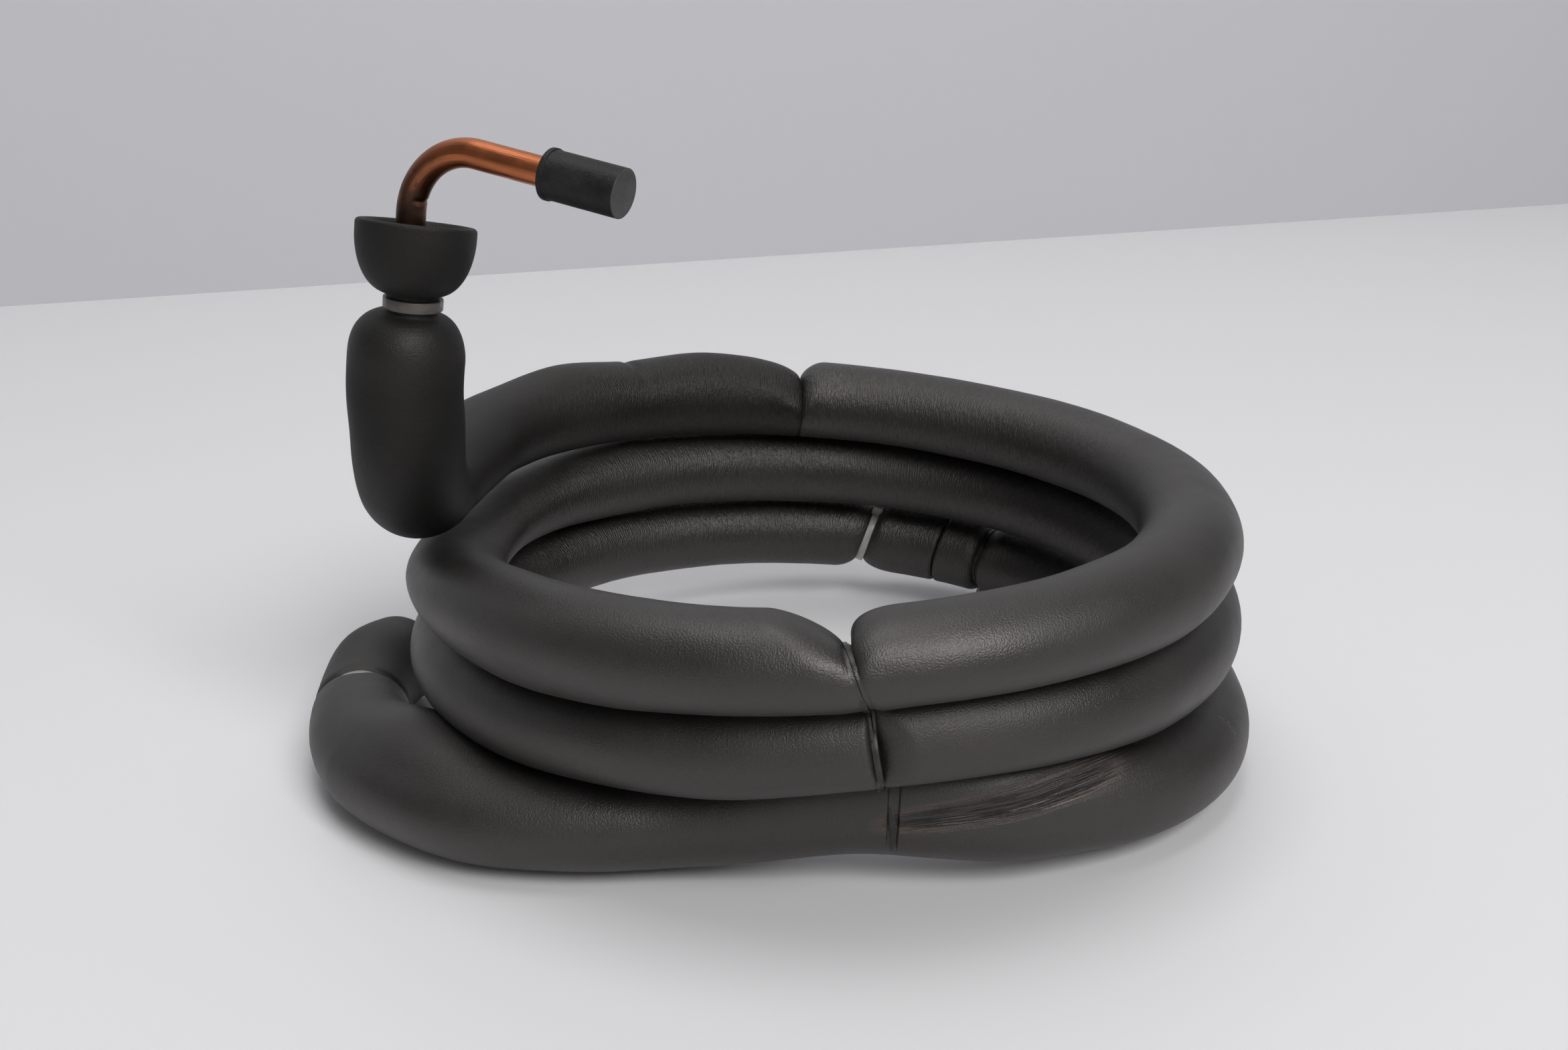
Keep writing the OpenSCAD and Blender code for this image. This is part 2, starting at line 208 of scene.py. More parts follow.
@dataclass(frozen=True)
class Riser:
    """The upright end of the tube: its axis, its bend into the top turn and the elbow above it."""

    out: float = 20.0
    lag: float = -13.5
    lean: float = 7.5
    bend_r: float = 40.0
    bend_level_share: float = 2.97
    neck_rise: float = 35.5
    neck_r: float = 8.3
    flare_h: float = 26.0
    flare_r: float = 19.25
    sleeve_r: float = 19.0
    elbow_lead: float = 3.2
    elbow_r: float = 22.0
    elbow_turn: float = 94.0
    elbow_leg: float = 47.8
    elbow_aside: float = -1.9
    leg_turn: float = -24.0

    @property
    def up(self) -> np.ndarray:
        """Direction up the riser."""
        a = math.radians(self.lean)
        return np.array([math.sin(a), 0.0, math.cos(a)])

    @property
    def flare_end(self) -> float:
        """Height of the flared end's rim above the bend."""
        return self.neck_rise + self.flare_h

    @property
    def bend_run(self) -> float:
        """Length of the bend."""
        return self.bend_r * math.pi / 2

    @property
    def leg_out(self) -> np.ndarray:
        """Direction from the riser towards the side that the elbow bends to."""
        turn, lean = math.radians(self.leg_turn), math.radians(self.lean)
        return np.array([math.cos(turn) * math.cos(lean), math.sin(turn), -math.cos(turn) * math.sin(lean)])

    @property
    def leg_heading(self) -> np.ndarray:
        """Direction along the elbow's leg towards its capped end."""
        a = math.radians(self.elbow_turn)
        return math.cos(a) * self.up + math.sin(a) * self.leg_out

    def foot(self, route: Route) -> np.ndarray:
        """Point on the riser's axis where its bend starts."""
        a = math.radians(self.lag)
        r = route.coil_r + self.out
        base = np.array([-r * math.cos(a), r * math.sin(a), self.bend_level_share * route.layer_h])
        return base + self.bend_r * self.up

    def bend_points(self, route: Route, count: int = 60) -> np.ndarray:
        """Points of the bend, from the riser's axis to the top turn."""
        a = np.radians(np.linspace(0.0, 90.0, count))[1:, None]
        return self.foot(route) + self.bend_r * ((1 - np.cos(a)) * Y_AXIS - np.sin(a) * self.up)

    def elbow_points(self, route: Route, count: int = 46) -> np.ndarray:
        """Points of the bare elbow, from the riser's axis to the leg."""
        a = np.radians(np.linspace(0.0, self.elbow_turn, count))[:, None]
        start = self.foot(route) + (self.flare_end + self.elbow_lead) * self.up
        start = start + self.elbow_aside * X_AXIS
        return start + self.elbow_r * (np.sin(a) * self.up + (1 - np.cos(a)) * self.leg_out)


ROUTE = Route()
RISER = Riser()


@dataclass(frozen=True)
class Placement:
    """Turns points about the coil's axis, in millimetres, into points of the frame, in metres."""

    origin: np.ndarray

    def place(self, points: np.ndarray) -> np.ndarray:
        """Points of the frame for points about the coil's axis."""
        return (points - self.origin) * MM

    def matrix(self, origin: np.ndarray, first: np.ndarray, heading: np.ndarray) -> Matrix:
        """Place of a piece that is modelled about its own axis in metres.

        Args:
            origin: where its origin goes, in millimetres about the coil's axis.
            first: direction of its first axis.
            heading: direction of its third axis.

        Returns:
            The matrix that puts it there.
        """
        third = Vector(unit(heading))
        one = Vector(first)
        one = (one - one.dot(third) * third).normalized()
        turn = Matrix((one, third.cross(one), third)).transposed().to_4x4()
        return Matrix.Translation(Vector(self.place(origin))) @ turn


@dataclass
class Path:
    """A dense line of points with its directions.

    Attributes:
        points: one row for each point, in millimetres about the coil's axis.
    """

    points: np.ndarray
    arc: np.ndarray = field(init=False)
    heading: np.ndarray = field(init=False)
    across: np.ndarray = field(init=False)
    third: np.ndarray = field(init=False)

    def __post_init__(self) -> None:
        """Works out lengths along the line, and the directions across it."""
        steps = np.linalg.norm(np.diff(self.points, axis=0), axis=1)
        self.arc = np.concatenate([[0.0], np.cumsum(steps)])
        self.heading = unit(np.gradient(self.points, self.arc, axis=0))
        self.across = square_to(unit(self.points * LEVEL), self.heading)
        self.third = np.cross(self.heading, self.across)

    @property
    def length(self) -> float:
        """Length of the whole line."""
        return float(self.arc[-1])

    def at(self, arcs: np.ndarray) -> "Path":
        """The same line at other places along it.

        Args:
            arcs: lengths from the line's start.

        Returns:
            A line with one point at each length.
        """
        rows = [np.interp(arcs, self.arc, self.points[:, k]) for k in range(3)]
        return Path(np.stack(rows, axis=-1))

    def softened(self, spread: float) -> "Path":
        """The line with its corners smoothed.

        Args:
            spread: length over which a corner is spread.

        Returns:
            A smooth line with evenly spaced points.
        """
        even = self.at(np.linspace(0.0, self.length, int(self.length)))
        reach = int(3 * spread)
        weights = np.exp(-0.5 * (np.arange(-reach, reach + 1) / spread) ** 2)
        weights /= weights.sum()
        ends = np.concatenate([
            2 * even.points[0] - even.points[reach:0:-1],
            even.points,
            2 * even.points[-1] - even.points[-2:-reach - 2:-1],
        ])
        return Path(np.stack([np.convolve(ends[:, k], weights, "valid") for k in range(3)], axis=-1))

    def rings(self, wide: np.ndarray, tall: np.ndarray, sides: int) -> np.ndarray:
        """Rings of points round the line.

        Args:
            wide: half width at each point and side, or one column for all sides.
            tall: half height, in the same way.
            sides: points in a ring.

        Returns:
            An array of rings, sides and coordinates.
        """
        a = angles(sides)
        return (
            self.points[:, None, :]
            + self.across[:, None, :] * (wide * np.cos(a))[..., None]
            + self.third[:, None, :] * (tall * np.sin(a))[..., None]
        )


@dataclass
class TubeMesh:
    """A closed wall of rings: the skin from end to end, and back through the bore.

    Attributes:
        name: the piece's name.
        rings: rings, sides and coordinates, in metres in the frame.
        lengths: length along the tube at each ring, in metres.
        marks: weights at each ring and side for the finish.
    """

    name: str
    rings: np.ndarray
    lengths: np.ndarray
    marks: dict[Mark, np.ndarray]

    def build(self) -> bpy.types.Object:
        """Makes the mesh with its map of lengths and turns, and its weights.

        Returns:
            The new object, at the origin.
        """
        count, sides = self.rings.shape[:2]
        i, k = np.meshgrid(np.arange(count), np.arange(sides), indexing="ij")
        j, n = (i + 1) % count, (k + 1) % sides
        corners = [i * sides + k, i * sides + n, j * sides + n, j * sides + k]
        faces = np.stack(corners, axis=-1).reshape(-1, 4)
        mesh = bpy.data.meshes.new(self.name)
        mesh.from_pydata(self.rings.reshape(-1, 3).tolist(), [], faces.tolist())
        ahead = np.where(j == 0, self.lengths[i], self.lengths[j])
        around = np.stack([k, k + 1, k + 1, k], axis=-1) / sides
        run = np.stack([self.lengths[i], self.lengths[i], ahead, ahead], axis=-1)
        layer = mesh.uv_layers.new(name="Run")
        layer.data.foreach_set("uv", np.stack([run, around], axis=-1).reshape(-1).astype(np.float32))
        for mark, weights in self.marks.items():
            values = mesh.attributes.new(mark.value, "FLOAT", "POINT")
            values.data.foreach_set("value", weights.reshape(-1).astype(np.float32))
        mesh.shade_smooth()
        piece = bpy.data.objects.new(self.name, mesh)
        bpy.context.collection.objects.link(piece)
        return piece


@dataclass(frozen=True)
class EndShape:
    """How a sleeve narrows to one of its ends, in millimetres.

    Attributes:
        root: share of the full radius at the end.
        level: length of the even neck beside the end.
        taper: length over which the sleeve swells to its full radius.
        shut: the shape away from the side that gapes, where the two are different.
        gape_side: middle of the side that gapes, in degrees round the sleeve.
        gape_half: half the width of that side, in degrees.
        gape_fade: share of that half over which the gaping fades.
        lean: how far the end leans along the sleeve, in degrees.
        lean_height: height above the middle line about which it leans.
        lean_run: length over which the lean fades.
        fullness: how round the swelling is, from 1 for a cone to 2 for a ball.
    """

    root: float
    level: float
    taper: float
    shut: "EndShape | None" = None
    gape_side: float = 92.0
    gape_half: float = 70.0
    lean: float = 0.0
    lean_height: float = 0.0
    lean_run: float = 36.0
    fullness: float = 2.0
    gape_fade: float = 0.8

    def share(self, distance: np.ndarray, sides: np.ndarray) -> np.ndarray:
        """Share of the full radius.

        Args:
            distance: distances from the end.
            sides: angles round the sleeve.

        Returns:
            The share at each distance and side.
        """
        shut = self.shut or self
        around = np.abs(half_turn(np.degrees(sides) - self.gape_side)) / self.gape_half
        gape = ease((1.0 - around) / self.gape_fade)[None, :]
        root = shut.root + (self.root - shut.root) * gape
        taper = shut.taper + (self.taper - shut.taper) * gape
        u = np.clip((distance[:, None] - self.level) / taper, 0.0, 1.0)
        return root + (1.0 - root) * (1.0 - (1.0 - u) ** self.fullness) ** (1.0 / self.fullness)

    def shift(self, distance: np.ndarray, height: np.ndarray) -> np.ndarray:
        """How far the skin moves along the sleeve, so that its end leans.

        Args:
            distance: distances from the end.
            height: heights above the middle line at each distance and side.

        Returns:
            The move at each distance and side.
        """
        fade = ease(1.0 - distance / self.lean_run)[:, None]
        return math.tan(math.radians(self.lean)) * (height - self.lean_height) * fade


@dataclass(frozen=True)
class Hollow:
    """A local move of a sleeve's skin, inwards if its depth is positive.

    Attributes:
        turn: place along the turns, in degrees.
        half_run: half its length along the sleeve, in millimetres.
        depth: how far the skin moves, in millimetres.
        side: place round the sleeve, in degrees: 0 is outwards, 90 up, 180 inwards.
        half_side: half its width round the sleeve, in degrees, or none for all round.
        edge: share of its half length over which it fades.
        twist: how far it turns round the sleeve for each millimetre along it, in degrees.
    """

    turn: float
    half_run: float
    depth: float
    side: float = 0.0
    half_side: float | None = None
    edge: float = 1.0
    twist: float = 0.0

    def weight(self, run: np.ndarray, sides: np.ndarray) -> np.ndarray:
        """How strongly it acts.

        Args:
            run: distances along the sleeve from its place.
            sides: angles round the sleeve.

        Returns:
            The strength at each distance and side.
        """
        middle = self.side + self.twist * run[:, None]
        around = half_turn(np.degrees(sides)[None, :] - middle)
        strength = ease((1.0 - np.abs(run) / self.half_run) / self.edge)[:, None]
        return strength * (1.0 if self.half_side is None else bell(around / self.half_side))


@dataclass
class FoamSleeve:
    """A foam sleeve in the turns.

    Attributes:
        node: the CAD node that the sleeve stands for.
        start: where it starts along the turns, in degrees.
        stop: where it ends.
        start_end: how it narrows at its start.
        stop_end: how it narrows at its end.
        hollows: dents, creases and swellings of its skin.
        scuffs: places where its skin is scraped.
        fill: how tight the foam is; not used.
        dull_and_shade: how matte its skin is, and how dark its colour is painted as shade.
        step: distance between its rings, in millimetres, and closer over end_run at either end.
        press_turn: middle of the stretch, in degrees, where the riser's bend presses it flat.
        swell_turns: places where it swells, in degrees, with its widths and heights there as shares.
        narrow: half length under which a mark gets rings of its own, in millimetres.
        rub_from_end: distance from an end of the skin that the tie has rubbed bright, in millimetres.
        back_base: share of the back's wear that the sides have, which back_slope raises towards the back.
    """

    node: str
    start: float
    stop: float
    start_end: EndShape
    stop_end: EndShape
    hollows: tuple[Hollow, ...] = ()
    scuffs: tuple[Hollow, ...] = ()
    fill: float = 0.9
    dull_and_shade: float = 0.0
    sides: int = 64
    step: float = 1.1
    fine_turn: float = 0.1
    end_run: float = 32.0
    end_run_share: float = 0.4
    end_rings: int = 48
    end_growth: float = 1.7
    least_step: float = 0.04
    press_turn: float = 366.0
    press_span: float = 48.0
    press_share: float = 0.5
    press_low_share: float = 0.3
    narrow: float = 8.0
    mark_reach: float = 1.4
    mark_rings: int = 29
    rub_from_end: float = 14.0
    rub_half: float = 12.0
    rub_side: float = 128.0
    rub_spread: float = 0.75
    back_base: float = 0.35
    back_slope: float = 0.9
    swell_turns: tuple[float, ...] = (1018.0, 1042.0, 1062.0, 1078.0)
    swell_wides: tuple[float, ...] = (1.0, 1.14, 1.21, 1.0)
    swell_talls: tuple[float, ...] = (1.0, 1.02, 1.05, 1.0)

    def path(self) -> tuple[Path, np.ndarray]:
        """Middle line of the sleeve, closer spaced towards its ends.

        Returns:
            The line, and the place of each of its points along the turns.
        """
        fine = np.arange(self.start, self.stop, self.fine_turn)
        whole = Path(ROUTE.points(fine))
        end_run = min(self.end_run, self.end_run_share * whole.length)
        grown = end_run * np.linspace(0.0, 1.0, self.end_rings) ** self.end_growth
        middle = np.arange(end_run + self.step, whole.length - end_run, self.step)
        gap = ROUTE.joint_gap / 2
        places = [gap + grown, middle, whole.length - gap - grown[::-1]]
        for mark in self.hollows + self.scuffs:
            if mark.half_run < self.narrow:
                reach = self.mark_reach * mark.half_run
                place = np.interp(mark.turn, fine, whole.arc)
                places.append(place + np.linspace(-reach, reach, self.mark_rings))
        arcs = np.unique(np.round(np.concatenate(places), 2))
        arcs = arcs[np.concatenate([[True], np.diff(arcs) > self.least_step])]
        return whole.at(arcs), np.interp(arcs, whole.arc, fine)

    def section(self, path: Path, turns: np.ndarray) -> tuple[np.ndarray, np.ndarray]:
        """Half width and half height of the skin.

        Args:
            path: the sleeve's middle line.
            turns: the place of each point along the turns.

        Returns:
            Half width and half height at each point and side, in millimetres.
        """
        a = angles(self.sides)
        gap = ROUTE.joint_gap / 2
        from_start = path.arc + gap
        from_stop = path.length - path.arc + gap
        share = np.minimum(self.start_end.share(from_start, a), self.stop_end.share(from_stop, a))
        pressed = self.press_share * bell((turns - self.press_turn) / self.press_span)[:, None]
        press_side = np.where(np.sin(a) > 0.0, 1.0, self.press_low_share)[None, :]
        swell_wide = np.interp(turns, self.swell_turns, self.swell_wides)[:, None]
        swell_tall = np.interp(turns, self.swell_turns, self.swell_talls)[:, None]
        wide = share * ROUTE.wide_share * swell_wide
        tall = share * ROUTE.tall_share * swell_tall * (1.0 - pressed * press_side)
        return ROUTE.sleeve_r * wide, ROUTE.sleeve_r * tall

    @staticmethod
    def reach(path: Path, turns: np.ndarray, turn: float) -> float:
        """Length along the sleeve of a place along the turns, which may lie beyond its ends."""
        beyond = turn - np.clip(turn, turns[0], turns[-1])
        return np.interp(turn, turns, path.arc) + beyond * path.length / (turns[-1] - turns[0])

    def moved(self, path: Path, turns: np.ndarray, rings: np.ndarray) -> np.ndarray:
        """Moves the skin by its hollows, its gathers beside the ties and its uneven surface.

        Args:
            path: the sleeve's middle line.
            turns: the place of each point along the turns.
            rings: the even skin.

        Returns:
            The moved skin.
        """
        a = angles(self.sides)
        outward = unit(rings - path.points[:, None, :])
        depth = np.zeros(rings.shape[:2])
        for hollow in self.hollows:
            place = self.reach(path, turns, hollow.turn)
            depth += hollow.depth * hollow.weight(path.arc - place, a)
        for shape, distance in ((self.start_end, path.arc), (self.stop_end, path.length - path.arc)):
            depth += gathers(shape, distance, a, self.start)
        depth -= uneven(rings)
        height = np.sum((rings - path.points[:, None, :]) * path.third[:, None, :], axis=2)
        ahead = self.start_end.shift(path.arc, height) + self.stop_end.shift(path.length - path.arc, height)
        return rings - outward * depth[..., None] + path.heading[:, None, :] * ahead[..., None]

    def marks(self, path: Path, turns: np.ndarray) -> dict[Mark, np.ndarray]:
        """Weights for the foam's finish.

        Args:
            path: the sleeve's middle line.
            turns: the place of each point along the turns.

        Returns:
            The weights at each point and side of the skin.
        """
        a = angles(self.sides)
        back = ease(self.back_base + self.back_slope * np.sin(np.radians(turns)))[:, None]
        scuff = np.zeros((len(turns), self.sides))
        for mark in self.scuffs:
            place = np.interp(mark.turn, turns, path.arc)
            scuff = np.maximum(scuff, mark.weight(path.arc - place, a))
        ends = np.minimum(path.arc - self.start_end.level, path.length - path.arc - self.stop_end.level)
        rub = bell((ends - self.rub_from_end) / self.rub_half)[:, None] * back
        rub = rub * bell((a - math.radians(self.rub_side)) / self.rub_spread)[None, :]
        return {
            Mark.CREPE: inner_side(a) * back,
            Mark.SCUFF: scuff,
            Mark.RUB: rub,
            Mark.DULL: np.full_like(scuff, self.dull_and_shade),
        }

    def build(self, placement: Placement) -> bpy.types.Object:
        """Makes the sleeve's mesh.

        Args:
            placement: turns points about the coil's axis into points of the frame.

        Returns:
            The sleeve.
        """
        path, turns = self.path()
        skin = self.moved(path, turns, path.rings(*self.section(path, turns), self.sides))
        return close_sleeve(f"{self.node}_skin", path, skin, self.marks(path, turns), placement)


PLEAT_DEPTH, PLEAT_PLACE, PLEAT_RUN = 0.2, 3.0, 9.0
PLEAT_FOLDS = ((9, 1.0, 0.6), (14, 2.3, 0.4))
BROAD_RUN, BROAD_DEPTH = 34.0, 0.42
SMALL_RUN, SMALL_DEPTH = 7.0, 0.06
SMALL_SHIFT = Vector((9.0, 3.0, 5.0))
INNER_BASE, INNER_SLOPE = 0.55, 0.75
BORE_STRIDE = 8


def inner_side(sides: np.ndarray) -> np.ndarray:
    """Weight of the coil's inner side, where the skin is creped, at each angle round a sleeve."""
    return ease(INNER_BASE - INNER_SLOPE * np.cos(sides))[None, :]


def gathers(shape: EndShape, distance: np.ndarray, sides: np.ndarray, seed: float) -> np.ndarray:
    """Small pleats where a tie draws a sleeve in.

    Args:
        shape: the narrowing end.
        distance: distances from that end, in millimetres.
        sides: angles round the sleeve.
        seed: shifts the pleats round the sleeve.

    Returns:
        How far the skin moves in at each distance and side.
    """
    strength = PLEAT_DEPTH * (1.0 - shape.root) * bell((distance - shape.level - PLEAT_PLACE) / PLEAT_RUN)
    folds = sum(share * np.sin(count * sides + shift * seed) for count, shift, share in PLEAT_FOLDS)
    return strength[:, None] * folds[None, :]


def uneven(rings: np.ndarray) -> np.ndarray:
    """The foam's own uneven surface.

    Args:
        rings: rings of points, in millimetres.

    Returns:
        How far each point stands out.
    """
    flat = rings.reshape(-1, 3)
    broad = np.array([noise.noise(Vector(p) / BROAD_RUN) for p in flat])
    small = np.array([noise.noise(Vector(p) / SMALL_RUN + SMALL_SHIFT) for p in flat])
    return (BROAD_DEPTH * broad + SMALL_DEPTH * small).reshape(rings.shape[:2])


def close_sleeve(
    name: str,
    path: Path,
    skin: np.ndarray,
    marks: dict[Mark, np.ndarray],
    placement: Placement,
    mouth: np.ndarray | None = None,
) -> bpy.types.Object:
    """Closes a skin with its end faces and its bore.

    Args:
        name: the piece's name.
        path: the middle line.
        skin: rings of the skin.
        marks: weights of the skin.
        placement: turns points about the coil's axis into points of the frame.
        mouth: rings of a shaped face at the start, from the bore outwards.

    Returns:
        The closed sleeve.
    """
    count, sides = skin.shape[:2]
    coarse = np.unique(np.append(np.arange(0, count, BORE_STRIDE), count - 1))[::-1]
    bore_r = np.full((count, 1), ROUTE.bore_r)
    bore = path.rings(bore_r, bore_r, sides)[coarse]
    parts = [skin, bore]
    lengths = [path.arc, path.arc[coarse]]
    if mouth is not None:
        parts[1] = bore[:-1]
        lengths[1] = lengths[1][:-1]
        parts.append(mouth)
        lengths.append(np.linspace(-len(mouth), 0.0, len(mouth)))
    rings = np.concatenate(parts)
    whole = {}
    for mark, weights in marks.items():
        # Bore, end faces and dish take the full weight: painted shade in the gaps and hollows.
        filler = np.full((len(rings) - len(skin), sides), 1.0 if mark is Mark.DULL else 0.0)
        whole[mark] = np.concatenate([weights, filler])
    return TubeMesh(name, placement.place(rings), np.concatenate(lengths) * MM, whole).build()


@dataclass
class FoamRiser:
    """The upright sleeve: its flared end, tied neck, shoulder, bend and the first run of the top turn.

    Attributes:
        node: the CAD node that the sleeve stands for.
        stop: where it ends along the turns, in degrees.
        stop_end: how it narrows there.
        fill: how tight the foam is; not used.
        hollows: dents, creases and swellings of its skin.
        dish_shares: the dish in the flared end, as shares of the rim's radius and of the dish's depth.
        rim_turns: angles at which the rim's rounding has rings, in degrees.
        low_r: half height of the sleeve just past the bend, in millimetres.
        dull_shade_reach: how far below the rim the skin is matte and painted darker as shade, in millimetres.
        shoulder_highlight: how much of that painted shade is taken off the shoulder as a painted highlight,
            and highlight_share, how far down it that lies.
    """

    node: str = "foam_riser"
    stop: float = 86.0
    stop_end: EndShape = EndShape(0.42, 0.2, 26.0, EndShape(0.93, 0.1, 2.2), 100.0, 110.0)
    fill: float = 0.9
    sides: int = 72
    neck_half: float = 3.2
    shoulder_len: float = 15.5
    cup_share: float = 0.80
    roundness: float = 2.2
    dish_depth: float = 9.0
    dish_shares: tuple[tuple[float, float], ...] = ((0.42, 0.92), (0.62, 0.66), (0.78, 0.30), (0.87, 0.06))
    rim_round: float = 1.4
    rim_turns: tuple[float, ...] = (96.0, 70.0, 45.0, 20.0)
    rim_tilt: float = 7.5
    rim_even: float = 6.0
    sag: float = 1.5
    sag_drop: float = 4.0
    sag_run: float = 16.0
    bend_lap: float = 4.0
    bend_spread: float = 5.0
    bend_share: float = 0.35
    wide_past: float = 30.0
    low_r: float = 15.9
    low_past: float = 75.0
    low_run: float = 46.0
    change_run: float = 60.0
    step: float = 0.9
    rise_points: int = 120
    turn_points: int = 140
    head_rings: int = 110
    head_gap: float = 0.8
    end_run: float = 12.0
    end_rings: int = 30
    end_growth: float = 1.6
    pleat_seed: float = 1.7
    crepe_from: float = 18.0
    crepe_run: float = 30.0
    dull_shade_reach: float = 70.0
    dull_shade_run: float = 50.0
    shoulder_highlight: float = 0.7
    highlight_share: float = 0.6
    hollows: tuple[Hollow, ...] = (
        Hollow(turn=52.5, half_run=4.0, depth=1.1, side=100.0, half_side=60.0),
        Hollow(turn=66.0, half_run=32.0, depth=-2.3, side=92.0, half_side=80.0),
        Hollow(turn=38.0, half_run=36.0, depth=-2.2, side=92.0, half_side=80.0),
    )

    def path(self) -> Path:
        """Middle line from the flared end's rim to the back joint."""
        rises = np.linspace(RISER.flare_end - self.rim_round, 0.0, self.rise_points)[:, None]
        sag = self.sag * ease((RISER.neck_rise - self.sag_drop - rises) / self.sag_run)
        upright = RISER.foot(ROUTE) + rises * RISER.up - sag * X_AXIS
        turns = ROUTE.points(np.linspace(ROUTE.first_turn + self.bend_lap, self.stop, self.turn_points))
        soft = Path(np.concatenate([upright, RISER.bend_points(ROUTE), turns])).softened(self.bend_spread)
        head = np.linspace(0.0, RISER.flare_end, self.head_rings)
        rest = np.arange(RISER.flare_end + self.head_gap, soft.length - self.end_run, self.step)
        tail = soft.length - self.end_run * np.linspace(1.0, 0.0, self.end_rings) ** self.end_growth
        return soft.at(np.concatenate([head, rest, tail]))

    def section(self, path: Path) -> tuple[np.ndarray, np.ndarray]:
        """Half width and half height of the skin along its middle line.

        Args:
            path: the middle line.

        Returns:
            Half width and half height at each point and side, in millimetres.
        """
        rise = RISER.flare_end - self.rim_round - path.arc
        above = (rise - RISER.neck_rise - self.neck_half) / (self.cup_share * RISER.flare_h)
        below = (RISER.neck_rise - self.neck_half - rise) / self.shoulder_len
        cup, shoulder = (
            np.sqrt(1.0 - (1.0 - np.clip(share, 0.0, 1.0)) ** self.roundness) for share in (above, below)
        )
        upright = RISER.neck_r + np.where(
            rise > RISER.neck_rise,
            (RISER.flare_r - RISER.neck_r) * cup,
            (RISER.sleeve_r - RISER.neck_r) * shoulder,
        )
        past = np.clip(-rise - self.bend_share * RISER.bend_run, 0.0, None)
        turn_wide, turn_tall = ROUTE.wide_share * ROUTE.sleeve_r, ROUTE.tall_share * ROUTE.sleeve_r
        wide = upright + (turn_wide - RISER.sleeve_r) * ease((past - self.wide_past) / self.change_run)
        low = self.low_r + (turn_tall - self.low_r) * ease((past - self.low_past) / self.change_run)
        tall = upright + (low - RISER.sleeve_r) * ease(past / self.low_run)
        end = self.stop_end.share(path.length - path.arc + ROUTE.joint_gap / 2, angles(self.sides))
        return wide[:, None] * end, tall[:, None] * end

    def mouth(self, path: Path) -> np.ndarray:
        """Rings of the dished end, from the bore out to the rim.

        Args:
            path: the middle line, which starts just under the rim.

        Returns:
            The rings.
        """
        edge = RISER.flare_r
        profile = [(ROUTE.bore_r, self.rim_round - self.dish_depth)]
        profile += [(r * edge, self.rim_round - z * self.dish_depth) for r, z in self.dish_shares]
        for turn in np.radians(self.rim_turns):
            r = edge - self.rim_round + self.rim_round * math.cos(turn)
            profile.append((r, self.rim_round * math.sin(turn)))
        a = angles(self.sides)
        spoke = path.across[0] * np.cos(a)[:, None] + path.third[0] * np.sin(a)[:, None]
        return np.stack([path.points[0] + z * RISER.up + r * spoke for r, z in profile])

    def tilted(self, path: Path, rings: np.ndarray, share: np.ndarray) -> np.ndarray:
        """Tilts the flared end back, so that its front edge stands higher.

        Args:
            path: the middle line, which starts just under the rim.
            rings: rings of points.
            share: how much each ring is tilted, from 0 to 1.

        Returns:
            The tilted rings.
        """
        ahead = path.points[0, 1] - rings[..., 1]
        rise = math.tan(math.radians(self.rim_tilt)) * ahead * share
        return rings + rise[..., None] * RISER.up

    def skin(self, path: Path, turns: np.ndarray, lying: np.ndarray) -> np.ndarray:
        """Rings of the skin, with its hollows, its pleats and its tilted rim.

        Args:
            path: the middle line.
            turns: the place of each point along the turns.
            lying: which points lie past the bend.

        Returns:
            The rings.
        """
        a = angles(self.sides)
        rings = path.rings(*self.section(path), self.sides)
        outward = unit(rings - path.points[:, None, :])
        depth = gathers(self.stop_end, path.length - path.arc, a, self.pleat_seed)
        for hollow in self.hollows:
            place = np.interp(hollow.turn, turns[lying], path.arc[lying])
            depth += hollow.depth * hollow.weight(path.arc - place, a)
        keep = ease(path.arc / self.rim_even)[:, None]
        skin = rings - outward * ((depth - uneven(rings)) * keep)[..., None]
        rise = (RISER.flare_end - path.arc - RISER.neck_rise) / RISER.flare_h
        return self.tilted(path, skin, ease(rise)[:, None])

    def marks(self, path: Path, turns: np.ndarray, lying: np.ndarray) -> dict[Mark, np.ndarray]:
        """Weights for the foam's finish.

        Args:
            path: the middle line.
            turns: the place of each point along the turns.
            lying: which points lie past the bend.

        Returns:
            The weights at each point and side of the skin.
        """
        back = (ease((turns - self.crepe_from) / self.crepe_run) * lying)[:, None]
        # Painted shade on the flared end and the cup, taken off the shoulder as a painted highlight.
        middle = RISER.flare_h + self.neck_half + self.highlight_share * self.shoulder_len
        shoulder = bell((path.arc - middle) / self.shoulder_len)
        dull_and_shade = ease((RISER.flare_end + self.dull_shade_reach - path.arc) / self.dull_shade_run)
        none = np.zeros((len(turns), self.sides))
        return {
            Mark.CREPE: inner_side(angles(self.sides)) * back,
            Mark.SCUFF: none,
            Mark.RUB: none,
            Mark.DULL: none + (dull_and_shade - self.shoulder_highlight * shoulder)[:, None],
        }

    def build(self, placement: Placement) -> bpy.types.Object:
        """Makes the riser's sleeve.

        Args:
            placement: turns points about the coil's axis into points of the frame.

        Returns:
            The sleeve.
        """
        path = self.path()
        turns = np.degrees(np.arctan2(path.points[:, 1], -path.points[:, 0]))
        lying = path.arc > RISER.flare_end + RISER.bend_run
        mouth = self.mouth(path)
        mouth = self.tilted(path, mouth, np.ones((len(mouth), 1)))
        skin, marks = self.skin(path, turns, lying), self.marks(path, turns, lying)
        return close_sleeve(f"{self.node}_skin", path, skin, marks, placement, mouth)


